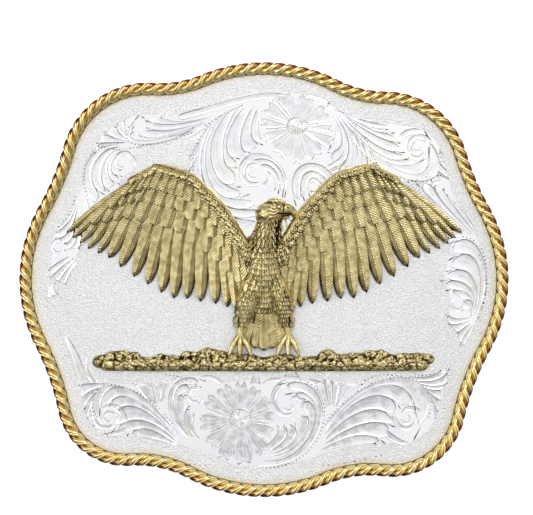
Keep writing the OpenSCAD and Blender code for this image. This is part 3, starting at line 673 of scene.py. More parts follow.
# %% The areas of the smooth bed under the ornament, in millimetres
beds = [
    [(-17.6, 34), (-10, 35.8), (-3, 38.1), (4, 38.2), (8, 37.8), (13, 36), (20, 32.6), (25.8, 31.9),
     (31.8, 31), (35, 28.8), (36.4, 25), (35.8, 22.4), (33, 20.7), (28.6, 20.2), (23.4, 19), (22.6, 13),
     (20.8, 7.4), (16, 7), (10, 4.8), (4, 6.4), (-3, 5.2), (-5.6, 8), (-9.8, 13.6), (-13.2, 18),
     (-14.2, 24), (-13.8, 28), (-18, 29.2), (-13.6, 31.4), (-24, 28.2), (-26.6, 26), (-26.8, 22.6),
     (-29.6, 20.2), (-29.4, 14), (-33, 11.6), (-36.8, 9.6), (-38, 6.4), (-39.6, 3), (-43.6, 0.8),
     (-43.6, 5), (-43.2, 9), (-40.6, 13), (-37.4, 18.8), (-35.6, 24), (-33.6, 28.6), (-29.8, 32),
     (-25, 33.8), (-20, 33.4)],
    [(-14, -35), (-20, -32.6), (-26, -32.2), (-32, -31.9), (-35.8, -29), (-37, -25), (-37.8, -21.8),
     (-31, -21.5), (-23, -21.4), (-16.6, -20), (-12, -19.8), (-8.6, -21), (-3.4, -20.6), (2, -20.2),
     (8, -20.5), (13, -21), (20, -21.6), (26, -20.3), (31, -20.6), (36, -20), (37, -22), (35.4, -27.8),
     (33.6, -31), (29.6, -33.4), (22, -33.6), (14, -35), (8, -37), (0, -38), (-6, -38), (-10, -36)],
    [(43.2, -9.4), (44.8, -5), (45.6, 0), (45.2, 4.4), (43.8, 8.6), (40.4, 14.6), (38.6, 18), (37.6, 20.6),
     (33.4, 20), (35, 16), (38, 12.2), (38, 8.6), (37.8, 4), (37, 0), (38, -3), (38.2, -7.4), (41, -9.4)],
]
bed_up = 0.02 * mm


# %% Lay out the bed
def rounded_path(points, n=8):
    """A smooth closed course through the given points."""
    p = np.array(points)
    a, b, c, d = (np.roll(p, -k, axis=0)[:, None, :] for k in (-1, 0, 1, 2))
    t = (np.arange(n) / n)[None, :, None]
    course = b + 0.5 * t * (c - a) + t ** 2 * (a - 2.5 * b + 2 * c - 0.5 * d)
    return (course + 0.5 * t ** 3 * (3 * b - 3 * c + d - a)).reshape(-1, 2)


def join(pieces):
    """Joins pieces into the first one."""
    settle()
    for piece in pieces:
        piece.select_set(True)
    bpy.context.view_layer.objects.active = pieces[0]
    bpy.ops.object.join()
    return bpy.context.object


def relief(pieces, angle):
    """Joins pieces that are seen from above, turns their faces up and smooths them."""
    piece = join(pieces)
    mesh = bmesh.new()
    mesh.from_mesh(piece.data)
    bmesh.ops.reverse_faces(mesh, faces=[f for f in mesh.faces if f.normal.z < 0])
    mesh.to_mesh(piece.data)
    mesh.free()
    bpy.ops.object.shade_smooth_by_angle(angle=math.radians(angle))
    return piece


bed_pieces = []
for points in beds:
    course = rounded_path(points) * mm
    settle()
    bpy.ops.mesh.primitive_circle_add(vertices=len(course), radius=0.04, fill_type="NGON")
    piece = bpy.context.object
    for corner, (x, y) in zip(piece.data.vertices, course):
        corner.co = (x, y, bed_up)
    bpy.ops.object.mode_set(mode="EDIT")
    cut_across()
    bpy.ops.object.mode_set(mode="OBJECT")
    co = points_of(piece)
    lay_points(piece, co[:, :2], co[:, 2])
    bed_pieces.append(piece)
dress(relief(bed_pieces, 30), "ornament_bed", bright_silver)

# %% Model one straight leaf, one unit long and one unit wide
leaf_across, leaf_along, tip_from = 12, 26, 0.84
# How dark the hollows are near the bottom and near the middle of the buckle: matted, with painted shade that
# deepens towards the bottom
matting_and_shade_y, matting_and_shade_share = [-30 * mm, 12 * mm], [0.3, 0.05]
foot, flank, slope = 0.08 * mm, 0.10 * mm, 0.22 * mm
foot_down, hollow_up = -0.03 * mm, 0.05 * mm
ridge_share, ridge_least, ridge_most = 0.16, 0.05 * mm, 0.26 * mm

settle()
bpy.ops.mesh.primitive_grid_add(x_subdivisions=leaf_across, y_subdivisions=leaf_along, size=1)
straight_leaf = bpy.context.object
grid = points_of(straight_leaf)
leaf_t = grid[:, 1] + 0.5
leaf_column = np.rint((grid[:, 0] + 0.5) * leaf_across).astype(int)


def across_leaf(width):
    """Place across and height of each of the leaf's columns, for its local width in metres."""
    out = foot / width
    a, b = np.minimum(flank / width, 0.13), np.minimum(slope / width, 0.28)
    ridge = np.clip(width * ridge_share, ridge_least, ridge_most)
    floor_up = np.minimum(hollow_up, ridge * 0.4)
    inner = [b + (1 - 2 * b) * k / 6 for k in range(1, 6)]
    place = np.stack([-out, a * 0, a, b, *inner, 1 - b, 1 - a, a * 0 + 1, 1 + out])
    side = [ridge, ridge * 0.62, ridge * 0.34]
    bowl = [floor_up + (ridge * 0.34 - floor_up) * abs(k / 3 - 1) ** 1.5 for k in range(1, 6)]
    return place, np.stack([ridge * 0 + foot_down, *side, *bowl, *side[::-1], ridge * 0 + foot_down])


def leaf_lines_and_shade(plan, across, width, last):
    """How dark each point of a leaf is: its foot, its hollow (matted, with painted shade) and painted shade
    on the lower side of its ridges.
    """
    column, t, wide_mm = leaf_column, leaf_t, width / mm
    line = ((column < 1) | (column > leaf_across - 1) | last) * (0.45 + 0.55 * t) * np.clip(wide_mm, 0.3, 1)
    # The hollow is matted and painted with shade, more towards the bottom, with two finer lines in it
    hollow = (column > 3) & (column < leaf_across - 3)
    matting_and_shade = hollow * np.interp(plan[:, 1], matting_and_shade_y, matting_and_shade_share)
    matting_and_shade = matting_and_shade + ((column == 4) | (column == 6)) * 0.15 * (width > 0.9 * mm)
    line = np.maximum(line, matting_and_shade * np.clip(t * 6, 0, 1) * np.clip((0.95 - t) * 6, 0, 1))
    # Painted shade runs along the flank of each ridge that faces down the buckle, away from the light
    facing = across[:, 1] / width
    down = np.where(column == 2, -facing, 0) + np.where(column == leaf_across - 2, facing, 0)
    cut = np.clip(down * 1.3, 0, 1) * (0.3 + 0.6 * t) * np.clip(t * 5, 0, 1)
    return np.maximum(line, cut * np.clip((wide_mm - 0.5) * 1.3, 0, 1))


def copy_leaf(edge_at):
    """A copy of the leaf whose left and right edges follow edge_at(side, t), given in metres."""
    piece = copy_of(straight_leaf)
    left, right = edge_at(0, leaf_t), edge_at(1, leaf_t)
    width = np.maximum(np.linalg.norm(right - left, axis=1), 0.05 * mm)
    # A rounded tip: the width closes like a circle over the last part
    end = np.clip((leaf_t - tip_from) / (1 - tip_from), 0, 1)
    close = np.sqrt(np.maximum(1 - end ** 2, 0.0))
    place, height = across_leaf(width * np.maximum(close, 0.2))
    at = np.arange(len(leaf_t))
    u = 0.5 + (place[leaf_column, at] - 0.5) * close
    plan = left + (right - left) * u[:, None]
    # It rises from the face at its root, and its last row lies in the face
    last = leaf_t > 0.999
    rise = (height[leaf_column, at] - foot_down) * np.clip(leaf_t * 8, 0.35, 1)
    lay_points(piece, plan, np.where(last, foot_down, foot_down + rise))
    store(piece, "cut_line_and_shade", leaf_lines_and_shade(plan, right - left, width, last))
    return piece


# %% Copy the leaf along every course
# Fans of at least so many leaves have a row of beads beside them
bead_fan, bead_pitch, bead_off = 5, 0.8 * mm, 0.36 * mm
# Shares along a fan's strokes between which its beads and the cuts at its two sides run
bead_shares, side_cut, fork_cut_end = (0.08, 0.9), np.array([0.96, 1.03]), 1.04


def on_stroke(guide, t):
    """Points at shares t of a stroke that is given by its start, two handles and end."""
    u = 1 - t
    return sum(np.outer(w, p) for w, p in zip((u ** 3, 3 * t * u * u, 3 * t * t * u, t ** 3), guide))


def fan_stroke(guides, share, t):
    """Points at shares t of the stroke that lies at a share of a fan's breadth."""
    gaps = len(guides) - 1
    k = min(int(share * gaps), gaps - 1)
    f = share * gaps - k
    return on_stroke(guides[k], t) * (1 - f) + on_stroke(guides[k + 1], t) * f


leaves, cuts, beads = [], [], []
for count, *guides in scroll_fans + small_fans:
    guides = [np.array(g).reshape(4, 2) * mm for g in guides]
    if count >= bead_fan:
        along = np.linspace(*bead_shares, 200)
        course = on_stroke(guides[0], along)
        apart = course - on_stroke(guides[1], along)
        course += apart / np.maximum(np.linalg.norm(apart, axis=1), 0.01 * mm)[:, None] * bead_off
        run = run_of(course)
        beads += list(on_path(course, np.arange(0, run[-1], bead_pitch), run))
    if count > 1:
        for share in (0.02, 0.98):
            cuts.append(fan_stroke(guides, share, side_cut))
    for k in range(count):
        # A short dark cut in the fork between this leaf's tip and the last one's
        if k:
            cuts.append(fan_stroke(guides, k / count, np.array([random.uniform(0.92, 0.97), fork_cut_end])))
        leaves.append(copy_leaf(lambda side, t: fan_stroke(guides, (k + side) / count, 0.04 + 0.96 * t)))
for x, y, r, start, turn, width in scroll_eyes:
    def eye_edge(side, t):
        angle = np.radians(start + turn * t)
        reach = (r * (1 - 0.35 * t) + (side - 0.5) * width * (1 - 0.5 * t)) * mm
        return np.column_stack([x * mm + reach * np.cos(angle), y * mm + reach * np.sin(angle)])

    leaves.append(copy_leaf(eye_edge))
dress(relief(leaves, 40), "scrollwork", bright_silver)
bpy.data.objects.remove(straight_leaf)

# %% [markdown]
# ## Cuts
# Between the leaves the engraver rocks the tool in and out, which leaves short pointed cuts and rows
# of dots. Each is a small dark lens that lies on the face. The lens is modelled once, and its copies
# are laid in the forks between leaf tips, along rows of dots, and beside the broad fans.

# %% Model a cut and lay its copies
# Rows of dots, in millimetres: points that each row runs through, and how many dots it has
dot_rows = [
    ([(-4.6, 35.6), (-8, 34), (-12, 31.6)], 13), ([(-34, 27.3), (-30, 26.6), (-25.4, 27.2)], 14),
    ([(29.6, 20), (33, 21), (36, 21.5), (37.8, 20.8)], 12),
    ([(44.3, 5), (45.6, 1.6), (45.8, -1), (45.4, -4.4), (44, -8)], 15),
    ([(-39.4, 4.2), (-42, 1), (-43.4, -1.4)], 9), ([(-13, -22), (-17, -20), (-20, -19.4)], 9),
    ([(20.6, -20.6), (24, -19.4), (28, -19.8)], 10), ([(-35, -30), (-36, -26), (-35, -22.6)], 9),
    ([(14.4, 9.4), (17.6, 11.4), (21.6, 13.6)], 9), ([(-4, 7.4), (-6.4, 5.6), (-7.6, 3.4)], 8),
    ([(-24, -36.4), (-18, -37.8), (-12, -38)], 12), ([(12, -38), (18, -37.4), (24, -36)], 12),
]
fork_width, dot_size, bead_size = 0.42 * mm, 0.42 * mm, 0.38 * mm
fork_up, dot_up, bead_up = 0.17 * mm, 0.12 * mm, 0.14 * mm

settle()
bpy.ops.mesh.primitive_uv_sphere_add(segments=10, ring_count=6, radius=0.5)
lens = bpy.context.object
lens_form = points_of(lens)
store(lens, "cut_line_and_shade", np.ones(len(lens_form)))


def lay_cut(start, end, width, up):
    """A dark lens between two points of the plan, its tail drawn out to a point."""
    piece = copy_of(lens)
    along = np.subtract(end, start)
    length = np.linalg.norm(along)
    along = along / length
    left = np.array([-along[1], along[0]])
    taper = 0.55 + 0.9 * lens_form[:, 0]
    plan = start + np.outer((lens_form[:, 0] + 0.5) * length, along)
    plan = plan + np.outer(lens_form[:, 1] * width * taper, left)
    lay_points(piece, plan, lens_form[:, 2] * 2 * up)
    return piece


def lay_dots(spots, size, up):
    """A round dot on each spot of the plan."""
    return [lay_cut(spot - [size / 2, 0], spot + [size / 2, 0], size, up) for spot in spots]


marks = [lay_cut(a, b, fork_width, fork_up) for a, b in cuts]
for points, count in dot_rows:
    spots = on_path(np.array(points) * mm, np.arange(count) / (count - 1) * (len(points) - 1))
    marks += lay_dots(spots, dot_size, dot_up)
marks = join(marks + lay_dots(beads, bead_size, bead_up))
bpy.ops.object.shade_smooth()
dress(marks, "engraved_cuts", bright_silver)
bpy.data.objects.remove(lens)

# %% [markdown]
# ## Flowers
# Two flowers sit in the scrollwork. Each has broad petals of uneven width with lobed ends, a bright
# rim inside a dark cut along the petals' edges, and a domed middle with fine rays, set in a ring. A
# petal is a grid laid out in polar form: low and finely lined inside, raised at its rim, and wavy at
# its end. It is modelled once, and its copies are given the angle, breadth and reach of each petal.

# %% Petals
# Middle of the flower and of its ring, the ring's half width and half height, then its petals: angle,
# half breadth in degrees, reach in millimetres
flowers = [
    ((6.8, 31.3), (6.8, 31.6), (2.15, 1.62), [
        (72, 21, 6.4), (113, 17, 7.0), (147, 16, 7.3), (174, 12, 7.2), (201, 14, 7.0), (237, 21, 6.9),
        (270, 12, 7.5), (304, 20, 7.2), (335, 13, 7.8), (357, 10, 7.0), (28, 21, 6.6)]),
    ((-4.9, -28.7), (-4.85, -28.5), (2.3, 2.12), [
        (118, 18, 7.6), (88, 13, 7.6), (62, 13, 7.4), (34, 14, 7.3), (6, 14, 6.7), (-24, 16, 7.0),
        (-53, 15, 8.2), (-85, 16, 8.9), (-114, 14, 8.5), (-142, 15, 8.0), (-175, 18, 8.0), (148, 14, 8.0)]),
]
petal_across, petal_along = 16, 14
petal_up, petal_low, petal_crease = 0.2 * mm, 0.14 * mm, 0.015 * mm
rim_in, rim_width, edge_cut = 0.22 * mm, 0.18 * mm, 0.11 * mm
# The lower flower is darker inside: matting, with painted shade that deepens towards the bottom
petal_y, petal_matting_and_shade = [-28 * mm, 31 * mm], [0.36, 0.2]

settle()
bpy.ops.mesh.primitive_grid_add(x_subdivisions=petal_across, y_subdivisions=petal_along, size=1)
flat_petal = bpy.context.object
grid = points_of(flat_petal)
# The grid's lines are drawn together towards the petal's edges
petal_u = np.sign(grid[:, 0]) * (1 - (1 - np.abs(grid[:, 0] * 2)) ** 1.4)
petal_t = 1 - (1 - (grid[:, 1] + 0.5)) ** 1.3
petal_wide = np.interp(petal_t, [0, 0.3, 0.6, 0.85, 0.94, 1], [0.9, 1.0, 1.0, 0.96, 0.86, 0.7])
petal_border = (np.abs(petal_u) > 0.999) | (petal_t > 0.999)


def copy_petal(x, y, angle, breadth, near, far):
    """A petal of the flower at x, y, from radius near to radius far, in metres and radians."""
    u, t, wide = petal_u, petal_t, petal_wide
    lobes = random.choice((1.35, 1.6))
    notch = 0.08 * np.cos(math.pi * lobes * u + random.uniform(-0.5, 0.5)) + 0.12 * np.abs(u) ** 3
    reach = near + (far - near) * t * (1 - notch * t ** 3)
    turn = angle + u * wide * breadth
    from_edge = np.minimum((1 - np.abs(u)) * wide * breadth * reach, (1 - t) * (far - near) * 1.2)
    rim = np.exp(-((from_edge - rim_in) / rim_width) ** 2) * np.clip(0.25 + t, 0, 1)
    h = petal_low + (petal_up - petal_low) * rim + petal_crease * np.cos(9 * u) * np.clip(1 - t, 0, 1)
    h = np.where(petal_border, np.where(t > 0.5, foot_down, petal_low), h)
    piece = copy_of(flat_petal)
    lay_points(piece, np.column_stack([x + reach * np.cos(turn), y + reach * np.sin(turn)]), h)
    # Matted inside with fine lines and painted shade, bright along the rim, and dark where the rim drops to
    # the face
    line = np.interp(y, petal_y, petal_matting_and_shade) * (1 - rim) * (1 - 0.4 * np.cos(14 * u))
    line += np.exp(-(from_edge / edge_cut) ** 2) * np.interp(t, [0.3, 0.8], [0.1, 0.8])
    border_line = np.interp(t, [0, 0.3, 0.8, 0.9], [0.25, 0.4, 0.7, 1.0])
    store(piece, "cut_line_and_shade", np.where(petal_border, border_line, line))
    return piece


petals = [
    copy_petal(x * mm, y * mm, math.radians(angle), math.radians(breadth), min(size) * 0.9 * mm, far * mm)
    for (x, y), _, size, rows in flowers for angle, breadth, far in rows
]
dress(relief(petals, 50), "flower_petals", bright_silver)
bpy.data.objects.remove(flat_petal)

# %% Ring and rayed middle of each flower
middle_up, middle_share, ray_count, ray_up = 0.24 * mm, 0.94, 20, 0.03 * mm
ring_r, ring_up = 0.14 * mm, 0.30 * mm
middles = []
for _, (x, y), (wide, high), _ in flowers:
    settle()
    bpy.ops.mesh.primitive_uv_sphere_add(segments=ray_count * 6, ring_count=24, radius=1)
    dome = bpy.context.object
    bpy.ops.object.mode_set(mode="EDIT")
    bpy.ops.mesh.select_all(action="SELECT")
    bpy.ops.mesh.bisect(plane_co=(0, 0, 0), plane_no=(0, 0, 1), clear_inner=True)
    bpy.ops.object.mode_set(mode="OBJECT")
    co = points_of(dome)
    out = np.hypot(co[:, 0], co[:, 1])
    ray = np.cos(ray_count * np.arctan2(co[:, 1], co[:, 0]) + 2.5 * out)
    ray *= np.interp(out, [0.2, 0.5], [0.3, 1])
    band = np.clip((out - 0.12) * 6, 0, 1) * np.clip((0.97 - out) * 8, 0, 1)
    line = 0.9 * band * np.clip(-ray, 0, 1) + 0.7 * np.clip((out - 0.9) * 12, 0, 1)
    store(dome, "cut_line_and_shade", (line + 0.4 * np.exp(-(out / 0.1) ** 2)).clip(0, 1))
    plan = co[:, :2] * [wide * middle_share * mm, high * middle_share * mm] + [x * mm, y * mm]
    lay_points(dome, plan, middle_up + co[:, 2] * 0.06 * mm + ray_up * ray * band)
    bpy.ops.mesh.primitive_torus_add(
        major_segments=72, minor_segments=10, major_radius=wide * mm, minor_radius=ring_r)
    ring = bpy.context.object
    co = points_of(ring)
    # The ring's lower flanks are painted dark, as shade where it meets the face
    store(ring, "cut_line_and_shade", np.clip((0.05 * mm - co[:, 2]) / (0.08 * mm), 0, 0.8))
    lay_points(ring, co[:, :2] * [1, high / wide] + [x * mm, y * mm], co[:, 2] * 1.2 + ring_up)
    middles += [dome, ring]
middles = join(middles)
bpy.ops.object.shade_smooth_by_angle(angle=math.radians(60))
dress(middles, "flower_middles", bright_silver)

# %% [markdown]
# ## Rope edge
# The edge is three gold strands twisted round each other, each drawn from finer wires. A tube with
# three lobes would look soft, so each strand is swept by itself: its centre circles the rope's own
# centre line while that line goes round the plate, and its section has shallow flutes for the wires.
# How far a point lies in between the strands is stored as a recess, which the gold finish turns
# red-brown and black, partly as a patina and partly as painted shade. The outer flank and the underside
# get painted shade too, most on the left and at the bottom, and the side towards the silver is painted less
# dark.

# %% Sweep the three strands
strand_count, rope_turns, turn_rings, wires, section = 3, 41, 27, 6, 28
strand_out, strand_r, flute = 0.66 * mm, 0.61 * mm, 0.17
rope_r = rope_d / 2


def ring_faces(rings, sides, spans):
    """Faces between rings of points, each ring joined to the next one over so many spans."""
    return [(k * sides + m, k * sides + (m + 1) % sides,
             (k + 1) % rings * sides + (m + 1) % sides, (k + 1) % rings * sides + m)
            for k in range(spans) for m in range(sides)]


def new_skin(name, points, faces):
    """A new piece from its points and faces."""
    mesh = bpy.data.meshes.new(name)
    mesh.from_pydata(points.tolist(), [], faces)
    piece = bpy.data.objects.new(name, mesh)
    bpy.context.collection.objects.link(piece)
    return piece


def turn_outwards():
    """Makes the faces of the active closed piece point outwards."""
    bpy.ops.object.mode_set(mode="EDIT")
    bpy.ops.mesh.select_all(action="SELECT")
    bpy.ops.mesh.normals_make_consistent(inside=False)
    bpy.ops.object.mode_set(mode="OBJECT")


def unit(rows):
    """Each row of an array as a direction."""
    return rows / np.linalg.norm(rows, axis=1)[:, None]


rings = rope_turns * turn_rings
path, _ = even_points(outline(-rope_r), rings)
ahead = unit(np.roll(path, -1, axis=0) - np.roll(path, 1, axis=0))
outward = np.column_stack([ahead[:, 1], -ahead[:, 0], np.zeros(rings)])
centre = np.column_stack([path, face_z(path[:, 0]) + rope_lift])
up = np.array([0, 0, 1.0])
# Painted shade on the rope's outer flank is strongest on the left and at the bottom, away from the key light
shaded_side = 0.8 + 0.2 * np.clip(-outward @ [0.9, 0.75, 0] * 1.5, 0, 1)


def rope_recess(p, wave):
    """How dark the strands are painted at a row of points, as patina and painted shade, where wave is 0
    between two wires and 1 on one.
    """
    depth = np.linalg.norm(p - centre, axis=1) / rope_r
    low = (centre[:, 2] - p[:, 2]) / rope_r
    share = ((p - centre) * outward).sum(1) / rope_r
    # Less dark on the side towards the silver
    lighter_inside = 0.9 * np.clip(0.1 - share * 1.8, 0, 1)
    # Darkest between the strands and between the wires: partly patina, partly painted shade
    dark = np.clip((0.91 - depth) / 0.5, 0, 1) * (1 - lighter_inside) + 0.6 * (1 - wave) ** 2
    # Painted shade on the outer flank
    flank = np.clip((share - 0.66 + 0.7 * np.minimum(dark, 0.4)) / 0.15, 0, 1) * shaded_side
    # Painted shade on the underside, below the rope's middle line
    under = np.clip((low - 0.2 + 0.5 * np.clip(share * 1.6, 0, 1)) / 0.45, 0, 1)
    return np.maximum.reduce([dark, flank, under])


strands = []
for first in math.tau * np.arange(strand_count) / strand_count:
    twist = first + math.tau * np.arange(rings) / turn_rings
    radial = np.cos(twist)[:, None] * outward + np.sin(twist)[:, None] * up
    line = centre + strand_out * radial
    run = unit(np.roll(line, -1, axis=0) - np.roll(line, 1, axis=0))
    side = unit(np.cross(run, radial))
    across = np.cross(side, run)
    points, recess = [], []
    for a in math.tau * np.arange(section) / section:
        wave = abs(math.sin(wires * a / 2))
        r = strand_r * (1 - flute * (1 - wave))
        points.append(line + r * math.cos(a) * across + r * math.sin(a) * side)
        recess.append(rope_recess(points[-1], wave))
    strand = new_skin("strand", np.stack(points, axis=1).reshape(-1, 3), ring_faces(rings, section, rings))
    store(strand, "recess", np.stack(recess, axis=1).ravel())
    strands.append(strand)
rope = join(strands)
turn_outwards()
bpy.ops.object.shade_smooth()
dress(rope, "twisted_rope", rope_gold)
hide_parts("rope_edge")

# %% [markdown]
# ## Eagle: feathers
# The cast eagle is a low relief, so each feather is a slightly roofed vane with a rib along it, and
# each overlaps its neighbour like a tile. One feather is modelled flat from a grid. Its copies are
# laid on the face from the wing's leading edge in rows, from long flight feathers to short coverts.
# Two values are stored along with the shape: how deep a point lies in a recess, which the finish
# blackens as patina and painted shade, and where it is along the barbs, which the finish turns into fine
# slanting lines.

# %% Model one feather
feather_columns = np.array([-1, -1, -0.86, -0.6, -0.34, -0.09, 0, 0.09, 0.34, 0.6, 0.86, 1, 1])
feather_rows, small_rows = 24, 8
barb_pitch, barb_slant, rib_up = 0.62 * mm, 1.1, 0.17


def model_feather(rows):
    """A flat feather one unit long and wide; its columns hold its section."""
    settle()
    bpy.ops.mesh.primitive_grid_add(x_subdivisions=len(feather_columns) - 1, y_subdivisions=rows, size=1)
    return bpy.context.object


def feather_form(piece, pointed=0.0, from_t=0.3):
    """Share across (-1 to 1), share along, local half width share, and if a point is on the foot."""
    co = points_of(piece)
    column = np.rint((co[:, 0] + 0.5) * (len(feather_columns) - 1)).astype(int)
    u, t = feather_columns[column], co[:, 1] + 0.5
    wide = np.interp(t, [0, 0.25, 0.5, 0.8], [0.5, 0.8, 0.97, 1]) * (1 - pointed * np.clip(t - from_t, 0, 1))
    wide *= np.sqrt(np.clip(1 - (np.clip(t - 0.82, 0, 1) / 0.182) ** 2, 0.003, 1))
    foot_point = (column == 0) | (column == len(feather_columns) - 1) | (t > 0.999)
    return u, t, wide, foot_point


long_feather, small_feather = model_feather(feather_rows), model_feather(small_rows)
long_form, flight_form = feather_form(long_feather), feather_form(long_feather, 0.9, 0.55)
small_form, hackle_form = feather_form(small_feather), feather_form(small_feather, 0.9)


def lay_feather(root, angle, length, width, root_up, tip_up, tilt,
                curve=0.0, small=False, form=None, foot_down=0.9 * mm):
    """A copy of the feather on the face, from its root's place and heights above the face, in metres."""
    u, t, wide, foot_point = form or (small_form if small else long_form)
    piece = copy_of(small_feather if small else long_feather)
    way = np.array([math.cos(angle), math.sin(angle)])
    left = np.array([-way[1], way[0]])
    sway = u * wide * width / 2 + curve * length * t * t
    plan = np.array(root) + np.outer(t * length, way) + np.outer(sway, left)
    h = root_up + (tip_up - root_up) * t + tilt * u
    h -= 0.13 * width * np.abs(u) ** 1.7 * (0.4 if small else 0.62)
    h += rib_up * mm * np.exp(-(u / 0.1) ** 2) * (1 - 0.6 * t)
    lay_points(piece, plan, np.where(foot_point, h - foot_down, h))
    # Dark at the root, at the foot, under the next feather and beside the rib, as patina and painted shade,
    # and rubbed bright towards the tip
    recess = 0.06 + 0.4 * np.clip((0.35 - t) / 0.35, 0, 1) + 0.75 * np.clip((-0.45 - u) / 0.5, 0, 1)
    beside_rib = (0.25 if small else 0.55) * np.exp(-((u + 0.2) / 0.13) ** 2)
    recess += beside_rib - 0.15 * np.clip((t - 0.55) * 2, 0, 1)
    store(piece, "recess", np.where(foot_point, 1.0, recess).clip(0, 1))
    store(piece, "barb", math.tau * (t * length - barb_slant * np.abs(u) * wide * width / 2) / barb_pitch)
    return piece


# %% Lay the right wing, row by row, and mirror it
wing_edge = np.array([(3.5, 5), (8.5, 13.5), (15, 20.5), (21.5, 22.5), (27, 20)]) * mm
# Count, share of the edge from and to, angle from and to, length from and to, root and tip height
wing_rows = [
    (10, 1.00, 0.55, -34, -76, 17.4, 24.4, 1.0, 0.85),
    (8, 0.49, 0.02, -78, -96, 24.4, 13.6, 1.15, 0.95),
    (14, 0.98, 0.04, -42, -97, 13.0, 9.6, 1.75, 1.30),
    (15, 0.96, 0.04, -44, -98, 8.2, 6.2, 2.25, 1.75),
    (16, 0.95, 0.05, -46, -99, 5.2, 3.8, 2.65, 2.15),
]
tile_tilt, tile_overlap, width_at = 0.09, 1.32, 0.75
feather_least, feather_most = 1.2 * mm, 3.5 * mm


def on_edge(share):
    """Point at a share of the wing's leading edge."""
    return on_path(wing_edge, share * (len(wing_edge) - 1))


def spread(a, b, t):
    """The value at a share of the way from a to b."""
    return a + (b - a) * t


wing_feathers = []
for count, edge_a, edge_b, angle_a, angle_b, length_a, length_b, root_up, tip_up in wing_rows:
    t = np.arange(count + 1) / (count - 1)
    roots = np.array([on_edge(spread(edge_a, edge_b, min(k, 1))) for k in t])
    angles = np.radians(spread(angle_a, angle_b, t))
    lengths = spread(length_a, length_b, t) * mm
    # A feather is as wide as its room to the next one, and a little more, so that they overlap
    ways = np.column_stack([np.cos(angles), np.sin(angles)])
    ends = roots + ways * lengths[:, None] * width_at
    room = np.abs(np.cross(ways[:-1], np.diff(ends, axis=0)))
    room[-1] = room[-2]
    for k in range(count):
        width = np.clip(room[k] * tile_overlap, feather_least, feather_most)
        angle = angles[k] + math.radians(random.uniform(-0.6, 0.6))
        length = lengths[k] * random.uniform(0.98, 1.0)
        wing_feathers.append(lay_feather(
            roots[k], angle, length, width, root_up * mm, tip_up * mm, tile_tilt * width,
            curve=-0.05, small=length_a < 6, form=flight_form if length_a > 16 else None))
right_wing = relief(wing_feathers, 50)
left_wing = copy_of(right_wing)
move_points(left_wing, points_of(right_wing) * [-1, 1, 1])
left_wing.data.flip_normals()

# %% Tail
tail_count, tail_spread, tail_len, tail_up = 7, 9, 11.5, 1.55
tail = []
for k in sorted(range(tail_count), key=lambda k: -abs(k - tail_count // 2)):
    off = k - tail_count // 2
    up = (tail_up - 0.13 * abs(off)) * mm
    tail.append(lay_feather(
        (0, -3 * mm), math.radians(-90 + tail_spread * off), (tail_len - 0.3 * abs(off)) * mm,
        2.9 * mm, up, up - 0.2 * mm, 0.1 * mm * np.sign(off)))
tail = relief(tail, 50)

# %% [markdown]
# ## Eagle: body, legs and ledge
# The body is one smooth swelling form, so it is put together from tubes of changing thickness, as a
# sculptor rolls out wax, and a voxel remesh melts them into one skin. Small feathers are then laid on
# that skin wherever a ray from above meets it. The ledge is made of rough stones in the same way,
# with noise for its crags.


# %% Roll out a wax tube
wax_underside, foot_height = -0.2 * mm, 0.9 * mm


def tube(points, radii, flat=1.0, sides=20, steps=10):
    """A closed tube through points (x, y, height over the face in mm), its radius changing along it."""
    p = np.array(points, float)
    t = np.linspace(0, len(p) - 1, (len(p) - 1) * steps + 1)
    line = on_path(p, t)
    for _ in range(steps // 2):
        line[1:-1] = (line[:-2] + 2 * line[1:-1] + line[2:]) / 4
    r = np.interp(t, range(len(p)), radii)
    way = unit(np.gradient(line, axis=0))
    side = np.cross(way, [0, 0, 1.0])
    side /= np.maximum(np.linalg.norm(side, axis=1), 1e-6)[:, None]
    over = np.cross(side, way)
    cap = np.linspace(0, math.pi / 2, 6)[:-1]
    # Round ends: extra rings that close over the first and last point
    rows = [(line[0] - way[0] * r[0] * math.cos(c), r[0] * math.sin(c), 0) for c in cap]
    rows += [(line[k], r[k], k) for k in range(len(line))]
    rows += [(line[-1] + way[-1] * r[-1] * math.cos(c), r[-1] * math.sin(c), -1) for c in cap[::-1]]
    a = np.linspace(0, math.tau, sides, endpoint=False)
    co = np.concatenate([c + np.outer(np.cos(a) * max(q, 0.01), side[k])
                         + np.outer(np.sin(a) * max(q, 0.01) * flat, over[k]) for c, q, k in rows]) * mm
    co[:, 2] += face_z(co[:, 0])
    faces = ring_faces(len(rows), sides, len(rows) - 1)
    faces += [tuple(range(sides))[::-1], tuple(len(co) - sides + j for j in range(sides))]
    return new_skin("wax", co, faces)


def melt(pieces, voxel, smooth_steps):
    """Joins wax pieces, melts them into one skin and trims what is under the face."""
    piece = join(pieces)
    turn_outwards()
    remesh = piece.modifiers.new("melt", "REMESH")
    remesh.mode, remesh.voxel_size = "VOXEL", voxel
    bpy.ops.object.modifier_apply(modifier=remesh.name)
    smooth = piece.modifiers.new("soften", "SMOOTH")
    smooth.factor, smooth.iterations = 0.5, smooth_steps
    bpy.ops.object.modifier_apply(modifier=smooth.name)
    co = points_of(piece)
    co[:, 2] = np.maximum(co[:, 2], face_z(co[:, 0]) + wax_underside)
    move_points(piece, co)
    return piece


